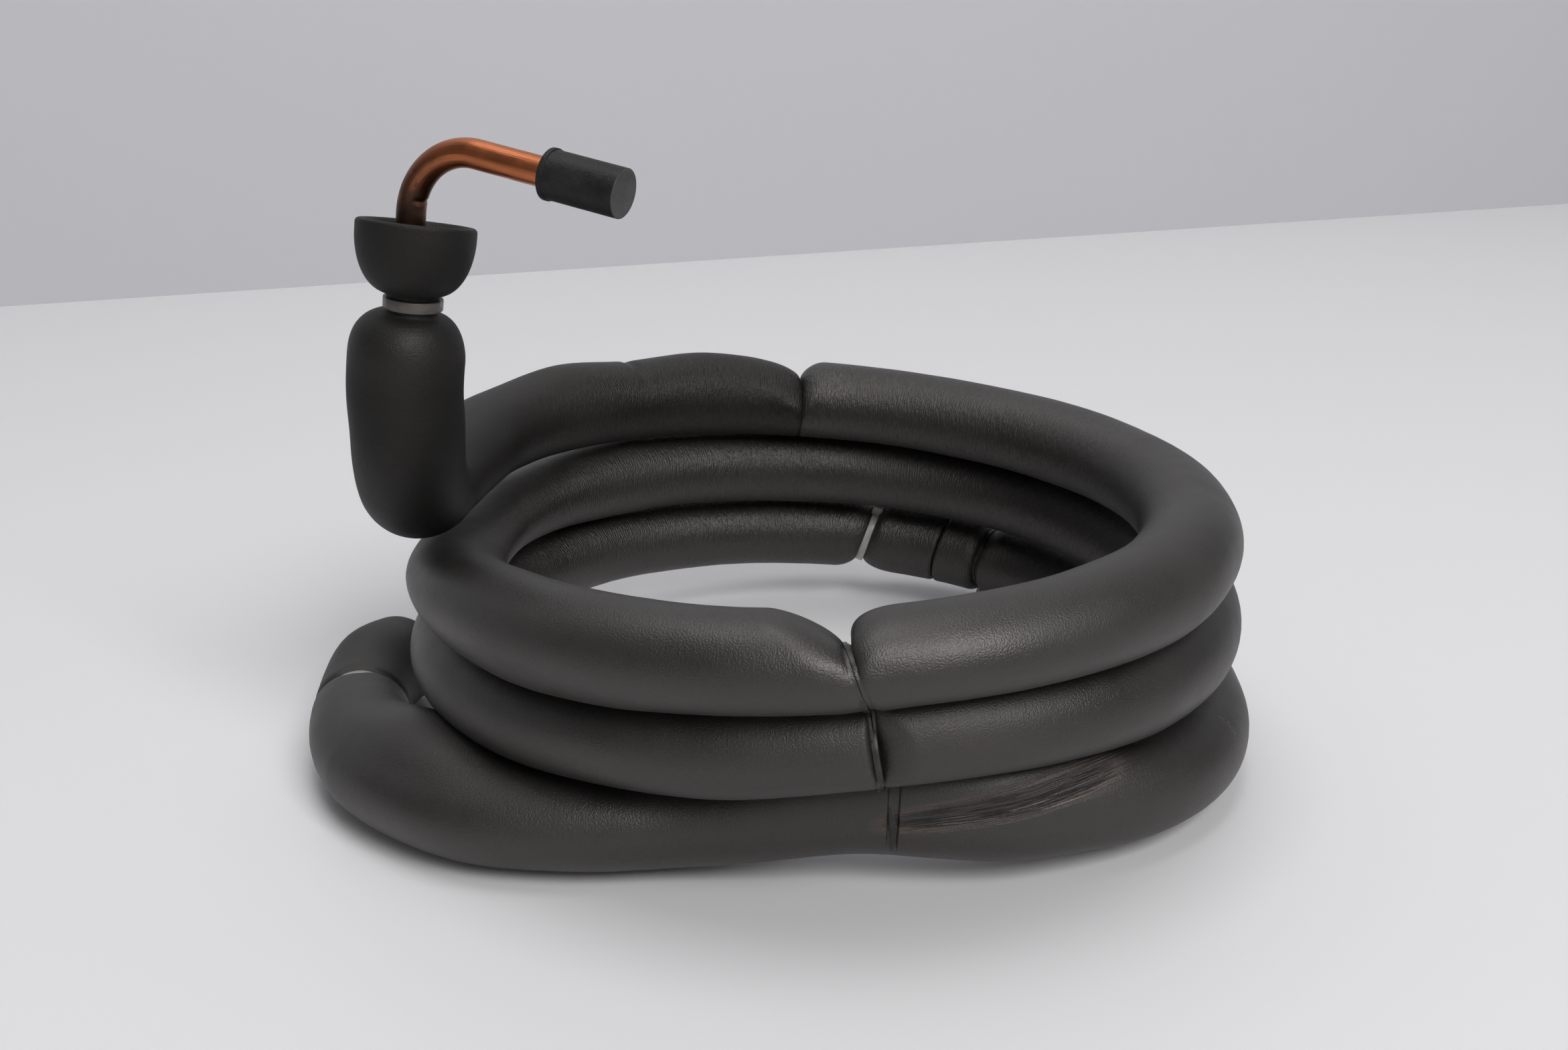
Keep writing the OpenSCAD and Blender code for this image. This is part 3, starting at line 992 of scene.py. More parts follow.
@dataclass
class CopperTube:
    """The bare copper tube, from its capped end through the elbow and the turns to the stub.

    Attributes:
        node: the CAD node that the tube stands for.
        squash: how much the elbow is flattened, as a share of its radius.
        kink_turn: place of the kink in the elbow, in degrees from the riser.
        tarnish_shade_start: how brown the tube is at the riser, partly oxide and partly a painted dark
            reflection, falling by tarnish_shade_fall through the elbow.
    """

    node: str = "copper_tube"
    outer_r: float = 4.75
    wall: float = 0.8
    sides: int = 48
    joint: float = 0.8
    turn_step: float = 2.0
    leg_rings: int = 40
    upright_rings: int = 50
    bend_rings: int = 24
    stub_rings: int = 8
    squash: float = 0.045
    kink_turn: float = 14.0
    kink_half: float = 3.4
    kink_depth: float = 0.45
    kink_side: float = 0.45
    kink_spread: float = 0.5
    tarnish_shade_start: float = 1.30
    tarnish_shade_fall: float = 1.5

    def path(self) -> tuple[Path, np.ndarray]:
        """Middle line of the tube.

        Returns:
            The line, and how far each point is turned through the elbow, from 0 at the riser to 1 at the leg.
        """
        elbow = RISER.elbow_points(ROUTE)[::-1]
        leg = elbow[0] + np.linspace(RISER.elbow_leg, self.joint, self.leg_rings)[:, None] * RISER.leg_heading
        lead = RISER.flare_end + RISER.elbow_lead
        rises = np.linspace(lead - self.joint, 0.0, self.upright_rings)[:, None]
        aside = RISER.elbow_aside * ease((rises - RISER.neck_rise) / RISER.flare_h)
        upright = RISER.foot(ROUTE) + rises * RISER.up + aside * X_AXIS
        turns = ROUTE.points(np.arange(ROUTE.first_turn, ROUTE.last_turn + 0.1, self.turn_step))
        tail = unit(turns[-1] - turns[-2])
        stub = turns[-1] + np.linspace(ROUTE.stub_lap, ROUTE.tail_stub, self.stub_rings)[:, None] * tail
        parts = [leg, elbow, upright, RISER.bend_points(ROUTE, self.bend_rings), turns, stub]
        through = [np.ones(len(leg)), np.linspace(1.0, 0.0, len(elbow))]
        through.append(np.zeros(sum(len(p) for p in parts[2:])))
        return Path(np.concatenate(parts)), np.concatenate(through)

    def build(self, placement: Placement) -> bpy.types.Object:
        """Makes the tube with its wall, its squashed bend and the kink inside it.

        Args:
            placement: turns points about the coil's axis into points of the frame.

        Returns:
            The tube.
        """
        path, through = self.path()
        frames = steady_frames(path)
        inside = frames_side(path, frames, RISER.leg_out - RISER.up)
        toward = np.cos(angles(self.sides)[None, :] - inside[:, None])
        bend = np.sin(np.pi * through)
        kink = bell((through * RISER.elbow_turn - self.kink_turn) / self.kink_half)
        r = self.outer_r * (1.0 - self.squash * bend[:, None] * toward**2)
        r = r - self.kink_depth * kink[:, None] * ease((toward - self.kink_side) / self.kink_spread)
        skin = sweep(path, frames, r)
        bore = sweep(path, frames, np.full_like(r, self.outer_r - self.wall))[::-1]
        rings = np.concatenate([skin, bore])
        lengths = np.concatenate([path.arc, path.arc[::-1]]) * MM
        # The brown is partly oxide and partly a painted dark reflection of the room.
        brown = ease(self.tarnish_shade_start - self.tarnish_shade_fall * through)
        tarnish_and_shade = np.repeat(brown[:, None], self.sides, axis=1)
        marks = {Mark.TARNISH: np.concatenate([tarnish_and_shade, tarnish_and_shade[::-1]])}
        return TubeMesh(f"{self.node}_drawn", placement.place(rings), lengths, marks).build()


def steady_frames(path: Path) -> np.ndarray:
    """Directions across a line that turn with it and never twist.

    Args:
        path: the line.

    Returns:
        One direction for each point, square to the line.
    """
    frames = np.zeros_like(path.points)
    frames[0] = unit(np.cross(path.heading[0], Z_AXIS))
    for i in range(1, len(frames)):
        frames[i] = square_to(frames[i - 1], path.heading[i])
    return frames


def frames_side(path: Path, frames: np.ndarray, way: np.ndarray) -> np.ndarray:
    """Angle round the line at which a direction lies.

    Args:
        path: the line.
        frames: its steady directions.
        way: the direction.

    Returns:
        The angle at each point.
    """
    second = np.cross(path.heading, frames)
    return np.arctan2(second @ way, frames @ way)


def sweep(path: Path, frames: np.ndarray, radii: np.ndarray) -> np.ndarray:
    """Rings round a line along its steady directions.

    Args:
        path: the line.
        frames: its steady directions.
        radii: the radius at each point and side.

    Returns:
        The rings.
    """
    a = angles(radii.shape[1])[None, :, None]
    second = np.cross(path.heading, frames)
    spokes = frames[:, None, :] * np.cos(a) + second[:, None, :] * np.sin(a)
    return path.points[:, None, :] + radii[..., None] * spokes


class Workbench:
    """Modelling steps that several pieces share."""

    @staticmethod
    def clear() -> None:
        """Leaves edit mode and deselects everything."""
        if bpy.context.object and bpy.context.object.mode != "OBJECT":
            bpy.ops.object.mode_set(mode="OBJECT")
        bpy.ops.object.select_all(action="DESELECT")

    @staticmethod
    def block(size: tuple[float, float, float], middle: float) -> bpy.types.Object:
        """Makes a block on the first axis.

        Args:
            size: its sides, in millimetres.
            middle: distance of its middle from the origin, in millimetres.

        Returns:
            The block.
        """
        Workbench.clear()
        bpy.ops.mesh.primitive_cube_add(size=1.0)
        made = bpy.context.object
        made.dimensions = [side * MM for side in size]
        made.location = (middle * MM, 0.0, 0.0)
        bpy.ops.object.transform_apply(location=True, rotation=True, scale=True)
        return made

    @staticmethod
    def pick_faces(piece: bpy.types.Object, way: Vector, least: float = 0.9) -> None:
        """Selects the faces of a piece that look a given way, in edit mode.

        Args:
            piece: the piece, which is the active object.
            way: the direction.
            least: least cosine between a face's normal and the direction.
        """
        bpy.ops.object.mode_set(mode="OBJECT")
        mesh = piece.data
        for part in (mesh.vertices, mesh.edges, mesh.polygons):
            part.foreach_set("select", [False] * len(part))
        reach = max(p.center.dot(way) for p in mesh.polygons)
        for polygon in mesh.polygons:
            at_reach = polygon.center.dot(way) > reach - 0.01 * MM
            polygon.select = polygon.normal.dot(way) > least and at_reach
        bpy.ops.object.mode_set(mode="EDIT")
        bpy.ops.mesh.select_mode(type="FACE")

    @staticmethod
    def push(way: Vector, distance: float) -> None:
        """Extrudes the selected faces along a direction, by a distance in metres."""
        bpy.ops.mesh.extrude_region_move(TRANSFORM_OT_translate={"value": way * distance})

    @staticmethod
    def bevelled(piece: bpy.types.Object, width: float, segments: int) -> None:
        """Rounds a piece's sharp edges and shades it smooth.

        Args:
            piece: the piece.
            width: width of the rounding, in metres.
            segments: steps in the rounding.
        """
        Workbench.clear()
        bpy.context.view_layer.objects.active = piece
        piece.select_set(True)
        rounding = piece.modifiers.new("Rounding", "BEVEL")
        rounding.width = width
        rounding.segments = segments
        rounding.limit_method = "ANGLE"
        rounding.angle_limit = math.radians(40.0)
        bpy.ops.object.modifier_apply(modifier=rounding.name)
        bpy.ops.object.shade_smooth_by_angle(angle=math.radians(35.0))

    @staticmethod
    def joined(pieces: list[bpy.types.Object], name: str) -> bpy.types.Object:
        """Joins pieces into one object.

        Args:
            pieces: the pieces, of which the first keeps its place.
            name: the joined piece's name.

        Returns:
            The joined piece.
        """
        Workbench.clear()
        for piece in pieces:
            piece.select_set(True)
        bpy.context.view_layer.objects.active = pieces[0]
        bpy.ops.object.join()
        pieces[0].name = name
        pieces[0].data.name = name
        return pieces[0]

    @staticmethod
    def placed(piece: bpy.types.Object, matrix: Matrix) -> None:
        """Puts a piece in its place and bakes that place into its mesh.

        Args:
            piece: the piece.
            matrix: its place.
        """
        Workbench.clear()
        piece.select_set(True)
        bpy.context.view_layer.objects.active = piece
        piece.matrix_world = matrix
        bpy.ops.object.transform_apply(location=True, rotation=True, scale=True)


@dataclass
class EndCap:
    """The rubber cap on the tube's bent end, in millimetres."""

    node: str = "end_cap"
    outer_r: float = 7.75
    length: float = 26.0
    end: float = 4.0
    lip: float = 0.4
    lip_len: float = 1.6
    bore_r: float = 4.9
    seat_gap: float = 0.3
    rounding: float = 0.55
    face_inset: float = 1.1
    face_edge: float = 0.4
    face_sink: float = 0.25
    face_least: float = 0.8
    sides: int = 96

    def build(self, placement: Placement) -> bpy.types.Object:
        """Models the cap from its lip: the barrel is drawn out of it and the bore pushed in.

        Args:
            placement: turns points about the coil's axis into points of the frame.

        Returns:
            The cap.
        """
        Workbench.clear()
        bpy.ops.mesh.primitive_cylinder_add(
            vertices=self.sides, radius=(self.outer_r + self.lip) * MM, depth=self.lip_len * MM,
            location=(0.0, 0.0, self.lip_len * MM / 2),
        )
        cap = bpy.context.object
        bpy.ops.object.transform_apply(location=True)
        up = Vector(Z_AXIS)
        Workbench.pick_faces(cap, up)
        bpy.ops.mesh.inset(thickness=self.lip * MM)
        Workbench.push(up, (self.length - self.lip_len) * MM)
        bpy.ops.mesh.inset(thickness=self.face_inset * MM)
        bpy.ops.mesh.inset(thickness=self.face_edge * MM, depth=-self.face_sink * MM)
        Workbench.pick_faces(cap, -up)
        bpy.ops.mesh.inset(thickness=(self.outer_r + self.lip - self.bore_r) * MM)
        Workbench.push(up, (self.length - self.end) * MM)
        bpy.ops.object.mode_set(mode="OBJECT")
        Workbench.bevelled(cap, self.rounding * MM, 4)
        elbow = RISER.elbow_points(ROUTE)[-1]
        mouth = RISER.elbow_leg + self.seat_gap + self.end - self.length
        first = np.cross(RISER.up, RISER.leg_out)
        Workbench.placed(cap, placement.matrix(elbow + mouth * RISER.leg_heading, first, RISER.leg_heading))
        cap.name = cap.data.name = f"{self.node}_rubber"
        return cap

    def paint(self, cap: bpy.types.Object, side: bpy.types.Material, face: bpy.types.Material) -> None:
        """Gives the closed end its own finish.

        Args:
            cap: the cap.
            side: finish of the barrel.
            face: finish of the closed end.
        """
        cap.data.materials.clear()
        cap.data.materials.append(side)
        cap.data.materials.append(face)
        way = Vector(RISER.leg_heading)
        reach = max(p.center.dot(way) for p in cap.data.polygons)
        for polygon in cap.data.polygons:
            on_end = polygon.center.dot(way) > reach - 2 * self.face_sink * MM
            polygon.material_index = int(on_end and polygon.normal.dot(way) > self.face_least)


@dataclass
class CableTie:
    """A cable tie round one sleeve's neck: strap, locking head and cut tail, in millimetres.

    Attributes:
        node: the CAD node that the tie stands for.
        inner_r: radius inside the strap.
        head_turn: where its head sits round the strap, in degrees.
        tail_curl: how strongly its tail leans over.
        turn: its place along the turns, in degrees.
        rise: how far the strap sits above the tube's middle line.
        lean: how far its top leans on along the tube, in degrees.
        shaded: whether it is painted dark as the shade deep in the foam.
    """

    node: str
    inner_r: float
    head_turn: float
    strap_w: float = 3.6
    strap_t: float = 1.1
    strap_edge: float = 0.3
    sides: int = 96
    head_len: float = 5.5
    head_h: float = 4.2
    head_width_share: float = 1.5
    head_edge: float = 0.45
    slot_wall: float = 1.0
    slot_share: float = 0.5
    tail: float = 12.0
    tail_cuts: int = 6
    tail_curl: float = 18.0
    tail_edge: float = 0.25
    turn: float = 0.0
    rise: float = 0.0
    lean: float = 0.0
    shaded: bool = False

    @property
    def strap_r(self) -> float:
        """Radius of the middle of the strap's wall."""
        return self.inner_r + self.strap_t / 2

    def strap(self) -> bpy.types.Object:
        """The band round the neck."""
        Workbench.clear()
        bpy.ops.mesh.primitive_cylinder_add(
            vertices=self.sides, radius=self.strap_r * MM, depth=self.strap_w * MM, end_fill_type="NOTHING",
        )
        return self.thickened(bpy.context.object)

    def thickened(self, band: bpy.types.Object) -> bpy.types.Object:
        """Gives an open band its thickness and soft edges.

        Args:
            band: the band's middle surface.

        Returns:
            The finished band.
        """
        wall = band.modifiers.new("Wall", "SOLIDIFY")
        wall.thickness = self.strap_t * MM
        wall.offset = 0.0
        bpy.ops.object.modifier_apply(modifier=wall.name)
        Workbench.bevelled(band, self.strap_edge * MM, 2)
        return band

    def head(self) -> bpy.types.Object:
        """The locking head with its slot, standing out of the strap along the first axis."""
        size = (self.head_h, self.head_len, self.strap_w * self.head_width_share)
        head = Workbench.block(size, self.strap_r + self.head_h / 2)
        out = Vector(X_AXIS)
        Workbench.pick_faces(head, out)
        bpy.ops.mesh.inset(thickness=self.slot_wall * MM)
        Workbench.push(out, -self.slot_share * self.head_h * MM)
        bpy.ops.object.mode_set(mode="OBJECT")
        Workbench.bevelled(head, self.head_edge * MM, 3)
        return head

    def cut_tail(self) -> bpy.types.Object:
        """The strap's cut tail, which stands out of the head and leans over."""
        strip = Workbench.block((self.tail, self.strap_t, self.strap_w), self.strap_r + self.tail / 2)
        bpy.ops.object.mode_set(mode="EDIT")
        bpy.ops.mesh.select_all(action="SELECT")
        bpy.ops.mesh.subdivide(number_cuts=self.tail_cuts)
        bpy.ops.object.mode_set(mode="OBJECT")
        for vertex in strip.data.vertices:
            run = max(0.0, vertex.co.x - (self.strap_r + self.head_h) * MM)
            vertex.co.y += self.tail_curl * run * run
        Workbench.bevelled(strip, self.tail_edge * MM, 2)
        return strip

    def seat(self, placement: Placement) -> Matrix:
        """Place of the strap's own axis on the tube.

        Args:
            placement: turns points about the coil's axis into points of the frame.

        Returns:
            The place.
        """
        before, here, after = ROUTE.points(np.array([self.turn - 1.0, self.turn, self.turn + 1.0]))
        heading = unit(after - before) - math.tan(math.radians(self.lean)) * Z_AXIS
        return placement.matrix(here + self.rise * Z_AXIS, here * LEVEL, heading)

    def build(self, matrix: Matrix) -> bpy.types.Object:
        """Makes the tie in its place.

        Args:
            matrix: place of the strap's own axis.

        Returns:
            The tie.
        """
        head, tail = self.head(), self.cut_tail()
        turn = Matrix.Rotation(math.radians(self.head_turn), 4, "Z")
        for piece in (head, tail):
            Workbench.placed(piece, turn)
        tie = Workbench.joined([self.strap(), head, tail], f"{self.node}_nylon")
        Workbench.placed(tie, matrix)
        return tie


@dataclass
class FrontTie(CableTie):
    """The long tie round all three turns at the front, drawn down into the foam.

    Attributes:
        line: places that it passes: along the turns and round the sleeve in degrees, and from the
            tube's middle line in millimetres.
        head_place: the one of those places where its head sits.
    """

    strap_w: float = 1.9
    strap_t: float = 0.8
    steps: int = 320
    head_place: int = 23
    line: tuple[tuple[float, float, float], ...] = (
        (270.0, 90.0, 5.8), (269.8, 60.0, 8.8), (269.5, 40.0, 12.0), (269.1, 20.0, 14.8),
        (268.7, 0.0, 16.1), (268.2, -25.0, 16.2), (267.7, -50.0, 14.2), (267.3, -78.0, 14.4),
        (626.6, 68.0, 14.2), (626.3, 45.0, 14.2), (626.1, 20.0, 14.8), (625.8, 0.0, 15.0),
        (625.5, -20.0, 14.8), (625.2, -45.0, 14.0), (624.9, -75.0, 14.2), (981.6, 68.0, 14.4),
        (981.2, 45.0, 16.0), (980.9, 20.0, 16.2), (980.5, 0.0, 16.3), (980.2, -35.0, 15.6),
        (980.0, -90.0, 14.6), (980.0, -140.0, 15.8), (980.0, 180.0, 18.2), (625.6, 180.0, 20.2),
        (269.5, 195.0, 14.5), (269.7, 165.0, 8.2), (269.9, 140.0, 6.3), (270.0, 115.0, 5.9),
    )

    def curve(self) -> tuple[np.ndarray, np.ndarray]:
        """Middle of the strap.

        Returns:
            Points round the closed strap, and the direction across it at each point.
        """
        turns = np.array([place[0] for place in self.line])
        here, ahead = ROUTE.points(turns), ROUTE.points(turns + 0.5)
        heading = unit(ahead - here)
        out = square_to(unit(here * LEVEL), heading)
        up = np.cross(heading, out)
        a = np.radians([place[1] for place in self.line])[:, None]
        reach = np.array([[place[2]] for place in self.line])
        knots = here + reach * (np.cos(a) * out + np.sin(a) * up)
        looped = np.concatenate([knots[-2:], knots, knots[:3]])
        x = 2.0 + len(knots) * np.arange(self.steps) / self.steps
        points = np.stack([along_curve(tuple(looped[:, k]), x) for k in range(3)], axis=-1)
        along = unit(np.roll(points, -1, axis=0) - np.roll(points, 1, axis=0))
        across = np.broadcast_to(unit(heading.mean(axis=0)), along.shape)
        return points, square_to(across, along)

    def build_loop(self, placement: Placement) -> bpy.types.Object:
        """Makes the loop: a circle is laid along its line, and given its width and thickness.

        Args:
            placement: turns points about the coil's axis into points of the frame.

        Returns:
            The tie.
        """
        points, across = self.curve()
        Workbench.clear()
        bpy.ops.mesh.primitive_circle_add(vertices=self.steps, radius=1.0)
        band = bpy.context.object
        bpy.ops.object.mode_set(mode="EDIT")
        bpy.ops.mesh.select_mode(type="EDGE")
        bpy.ops.mesh.select_all(action="SELECT")
        bpy.ops.mesh.extrude_region_move(TRANSFORM_OT_translate={"value": (0.0, 0.0, 1.0)})
        bpy.ops.object.mode_set(mode="OBJECT")
        for vertex in band.data.vertices:
            i = round(math.atan2(vertex.co.y, vertex.co.x) / (2 * math.pi) * self.steps) % self.steps
            side = self.strap_w / 2 * (1.0 if vertex.co.z > 0.5 else -1.0)
            vertex.co = placement.place(points[i] + side * across[i])
        band = self.thickened(band)
        head = self.head()
        i = round(self.head_place / len(self.line) * self.steps)
        inward = unit(-points[i] * LEVEL)
        Workbench.placed(head, placement.matrix(points[i] - self.inner_r * inward, inward, across[i]))
        return Workbench.joined([band, head], f"{self.node}_nylon")


@dataclass
class Graph:
    """A material's nodes."""

    material: bpy.types.Material

    @classmethod
    def new(cls, name: str) -> "Graph":
        """Starts a material with its shader."""
        material = bpy.data.materials.new(name)
        material.use_nodes = True
        return cls(material)

    @property
    def shader(self) -> bpy.types.Node:
        """The material's shader."""
        return self.material.node_tree.nodes["Principled BSDF"]

    def add(self, kind: str, settings: dict | None = None, **inputs: object) -> bpy.types.Node:
        """Adds a node.

        Args:
            kind: the node's type, without its prefix.
            settings: properties of the node.
            inputs: values or outputs for its sockets, with spaces in a socket's name as underscores.

        Returns:
            The node.
        """
        node = self.material.node_tree.nodes.new(f"ShaderNode{kind}")
        for key, value in (settings or {}).items():
            setattr(node, key, value)
        for key, value in inputs.items():
            self.feed(node.inputs[key.replace("_", " ")], value)
        return node

    def feed(self, socket: bpy.types.NodeSocket, value: object) -> None:
        """Links an output to a socket, or sets the socket's own value."""
        if isinstance(value, bpy.types.NodeSocket):
            self.material.node_tree.links.new(value, socket)
        else:
            socket.default_value = value

    def surface(self, name: str, value: object) -> None:
        """Links or sets one of the shader's sockets, by its name."""
        self.feed(self.shader.inputs[name], value)

    def math(self, operation: str, *values: object) -> bpy.types.NodeSocket:
        """A sum of two or three values, by the operation's name."""
        node = self.add("Math", {"operation": operation})
        for socket, value in zip(node.inputs, values):
            self.feed(socket, value)
        return node.outputs[0]

    def mix(self, share: object, a: object, b: object) -> bpy.types.NodeSocket:
        """A colour between two others."""
        node = self.add("Mix", {"data_type": "RGBA"})
        self.feed(node.inputs["Factor"], share)
        self.feed(node.inputs[6], a)
        self.feed(node.inputs[7], b)
        return node.outputs[2]

    def spread(
        self, value: object, low: float, high: float, to_low: float = 0.0, to_high: float = 1.0
    ) -> bpy.types.NodeSocket:
        """Stretches a value from one range to another, held at its ends."""
        node = self.add("MapRange", None, Value=value)
        for name, number in (("From Min", low), ("From Max", high), ("To Min", to_low), ("To Max", to_high)):
            node.inputs[name].default_value = number
        return node.outputs["Result"]

    def noise(self, vector: bpy.types.NodeSocket, scale: float, detail: float = 2.0) -> bpy.types.NodeSocket:
        """Values of a noise pattern."""
        node = self.add("TexNoise", None, Vector=vector, Scale=scale, Detail=detail)
        return node.outputs["Fac"]

    def mark(self, mark: Mark) -> bpy.types.NodeSocket:
        """A weight that the mesh carries."""
        return self.add("Attribute", {"attribute_name": mark.value}).outputs["Fac"]

    def object_place(self) -> bpy.types.NodeSocket:
        """Places in the frame."""
        return self.add("TexCoord").outputs["Object"]

    def run(self, scale: tuple[float, float, float]) -> bpy.types.NodeSocket:
        """Places along and round a tube, stretched."""
        uv = self.add("UVMap", {"uv_map": "Run"}).outputs["UV"]
        return self.add("Mapping", None, Vector=uv, Scale=scale).outputs["Vector"]

    def bump(self, height: object, distance: float, normal: object = None) -> bpy.types.NodeSocket:
        """A bumpy surface, over another one if given."""
        node = self.add("Bump", None, Height=height, Distance=distance, Strength=1.0)
        if normal is not None:
            self.feed(node.inputs["Normal"], normal)
        return node.outputs["Normal"]


@dataclass(frozen=True)
class FoamFinish:
    """Closed-cell foam skin: matte black with fine stipple, crepe, scrapes and lint.

    Attributes:
        name: the material's name.
        specular: how strongly the skin shines.
        scraped: colour of the crepe's ridges and of scratches.
        scuff_core: the darker colour inside a scuff, and lip, the colour round it.
        dull_and_shade: darker colour painted as shade, on skin that is also rougher by dull_rise.
        rub_fall: how much smoother rubbed skin is.
        crepe_stretch: the crepe's pattern along and round a sleeve.
        scuff_turns: how far the scratches turn round the sleeve for each metre along it.
        scratch_stretch: the scratches' pattern along and across them.
    """

    name: str
    specular: float
    dark: Colour = (0.0080, 0.0074, 0.0070, 1.0)
    light: Colour = (0.0155, 0.0143, 0.0134, 1.0)
    scraped: Colour = (0.072, 0.060, 0.053, 1.0)
    scuff_core: Colour = (0.004, 0.0037, 0.0034, 1.0)
    lip: Colour = (0.085, 0.060, 0.048, 1.0)
    lint: Colour = (0.45, 0.44, 0.42, 1.0)
    dull_and_shade: Colour = (0.0055, 0.0053, 0.0051, 1.0)
    sheen: Colour = (1.0, 0.95, 0.91, 1.0)
    roughness: float = 0.44
    dull_rise: float = 0.16
    rub_fall: float = 0.16
    blotch_scale: float = 28.0
    stipple_scale: float = 1900.0
    lint_scale: float = 46.0
    crepe_stretch: tuple[float, float, float] = (1500.0, 30.0, 1.0)
    scuff_turns: float = 2.02
    scratch_stretch: tuple[float, float, float] = (34.0, 190.0, 1.0)
    stipple_depth: float = 0.00018
    crepe_depth: float = 0.0006
    scratch_depth: float = 0.0008

    def scratches(self, g: Graph) -> bpy.types.NodeSocket:
        """Scratches that run aslant through a scuff."""
        run = g.add("SeparateXYZ", None, Vector=g.run((1.0, 1.0, 1.0))).outputs
        across = g.math("MULTIPLY_ADD", run["X"], self.scuff_turns, run["Y"])
        slanted = g.add("CombineXYZ", None, X=run["X"], Y=across).outputs["Vector"]
        stretched = g.add("Mapping", None, Vector=slanted, Scale=self.scratch_stretch).outputs["Vector"]
        return g.math("MULTIPLY", g.mark(Mark.SCUFF), g.spread(g.noise(stretched, 1.0, 4.0), 0.47, 0.60))

    def specks(self, g: Graph, place: bpy.types.NodeSocket) -> bpy.types.NodeSocket:
        """Rare specks of lint."""
        cells = g.add("TexVoronoi", None, Vector=place, Scale=self.lint_scale).outputs
        shade = g.add("SeparateColor", None, Color=cells["Color"]).outputs[0]
        rare = g.math("GREATER_THAN", shade, 0.86)
        return g.math("MULTIPLY", rare, g.spread(cells["Distance"], 0.016, 0.026, 1.0, 0.0))

    def material(self) -> bpy.types.Material:
        """The finish as a material."""
        g = Graph.new(self.name)
        place = g.object_place()
        scuff, dull_and_shade = g.mark(Mark.SCUFF), g.mark(Mark.DULL)
        blotch = g.noise(place, self.blotch_scale, 4.0)
        stipple = g.noise(place, self.stipple_scale, 2.0)
        grain = g.math("ADD", g.math("MULTIPLY", blotch, 0.5), g.math("MULTIPLY", stipple, 0.5))
        crepe = g.noise(g.run(self.crepe_stretch), 1.0, 3.0)
        creped = g.math("MULTIPLY_ADD", g.mark(Mark.CREPE), 0.85, 0.12)
        scratches = self.scratches(g)
        lip = g.math("MULTIPLY", g.spread(scuff, 0.05, 0.25, 0.0, 0.6), g.spread(grain, 0.4, 0.6, 0.3, 1.0))

        colour = g.mix(g.spread(grain, 0.35, 0.65), self.dark, self.light)
        colour = g.mix(g.math("MULTIPLY", g.spread(crepe, 0.5, 0.72, 0.0, 0.2), creped), colour, self.scraped)
        colour = g.mix(lip, colour, self.lip)
        colour = g.mix(g.spread(scuff, 0.35, 0.6, 0.0, 0.9), colour, self.scuff_core)
        colour = g.mix(g.math("MULTIPLY", scratches, 0.65), colour, self.scraped)
        colour = g.mix(self.specks(g, place), colour, self.lint)
        # Painted shade: marked skin is coloured darker.
        g.surface("Base Color", g.mix(dull_and_shade, colour, self.dull_and_shade))

        rough = g.spread(blotch, 0.3, 0.7, self.roughness - 0.06, self.roughness + 0.1)
        rough = g.math("MULTIPLY_ADD", g.mark(Mark.RUB), -self.rub_fall, rough)
        g.surface("Roughness", g.math("MULTIPLY_ADD", dull_and_shade, self.dull_rise, rough))
        g.surface("Specular IOR Level", self.specular)
        g.surface("Specular Tint", self.sheen)

        relief = g.bump(stipple, self.stipple_depth)
        relief = g.bump(g.math("MULTIPLY", crepe, creped), self.crepe_depth, relief)
        g.surface("Normal", g.bump(g.math("MULTIPLY", scratches, -1.0), self.scratch_depth, relief))
        return g.material


@dataclass(frozen=True)
class CopperFinish:
    """Drawn copper: streaks along the tube, and brown towards the foam that is partly oxide and partly a
    painted dark reflection.
    """

    name: str = "drawn_copper"
    bright: Colour = (0.50, 0.165, 0.072, 1.0)
    streak: Colour = (0.40, 0.130, 0.050, 1.0)
    brown: Colour = (0.086, 0.050, 0.035, 1.0)
    spot: Colour = (0.040, 0.022, 0.016, 1.0)
    streak_stretch: tuple[float, float, float] = (18.0, 11.0, 1.0)
    line_stretch: tuple[float, float, float] = (60.0, 70.0, 1.0)
    cloud_scale: float = 120.0
    spot_scale: float = 260.0
    line_depth: float = 0.00008

    def material(self) -> bpy.types.Material:
        """The finish as a material."""
        g = Graph.new(self.name)
        place = g.object_place()
        tarnish_and_shade = g.mark(Mark.TARNISH)
        streaks = g.noise(g.run(self.streak_stretch), 1.0, 3.0)
        lines = g.noise(g.run(self.line_stretch), 1.0, 2.0)
        cloud = g.noise(place, self.cloud_scale, 4.0)
        spots = g.noise(place, self.spot_scale, 3.0)
        colour = g.mix(g.spread(streaks, 0.46, 0.64), self.bright, self.streak)
        # Brown on the upright and elbow: partly oxide, partly a painted dark reflection.
        clouded = g.math("MULTIPLY", tarnish_and_shade, g.spread(cloud, 0.25, 0.55, 0.62, 1.0))
        colour = g.mix(clouded, colour, self.brown)
        spotted = g.math("MULTIPLY", tarnish_and_shade, g.spread(spots, 0.60, 0.70, 0.0, 0.85))
        colour = g.mix(spotted, colour, self.spot)
        g.surface("Base Color", colour)
        g.surface("Metallic", 1.0)
        g.surface("Roughness", g.spread(cloud, 0.3, 0.7, 0.26, 0.44))
        g.surface("Normal", g.bump(g.math("ADD", lines, streaks), self.line_depth))
        return g.material


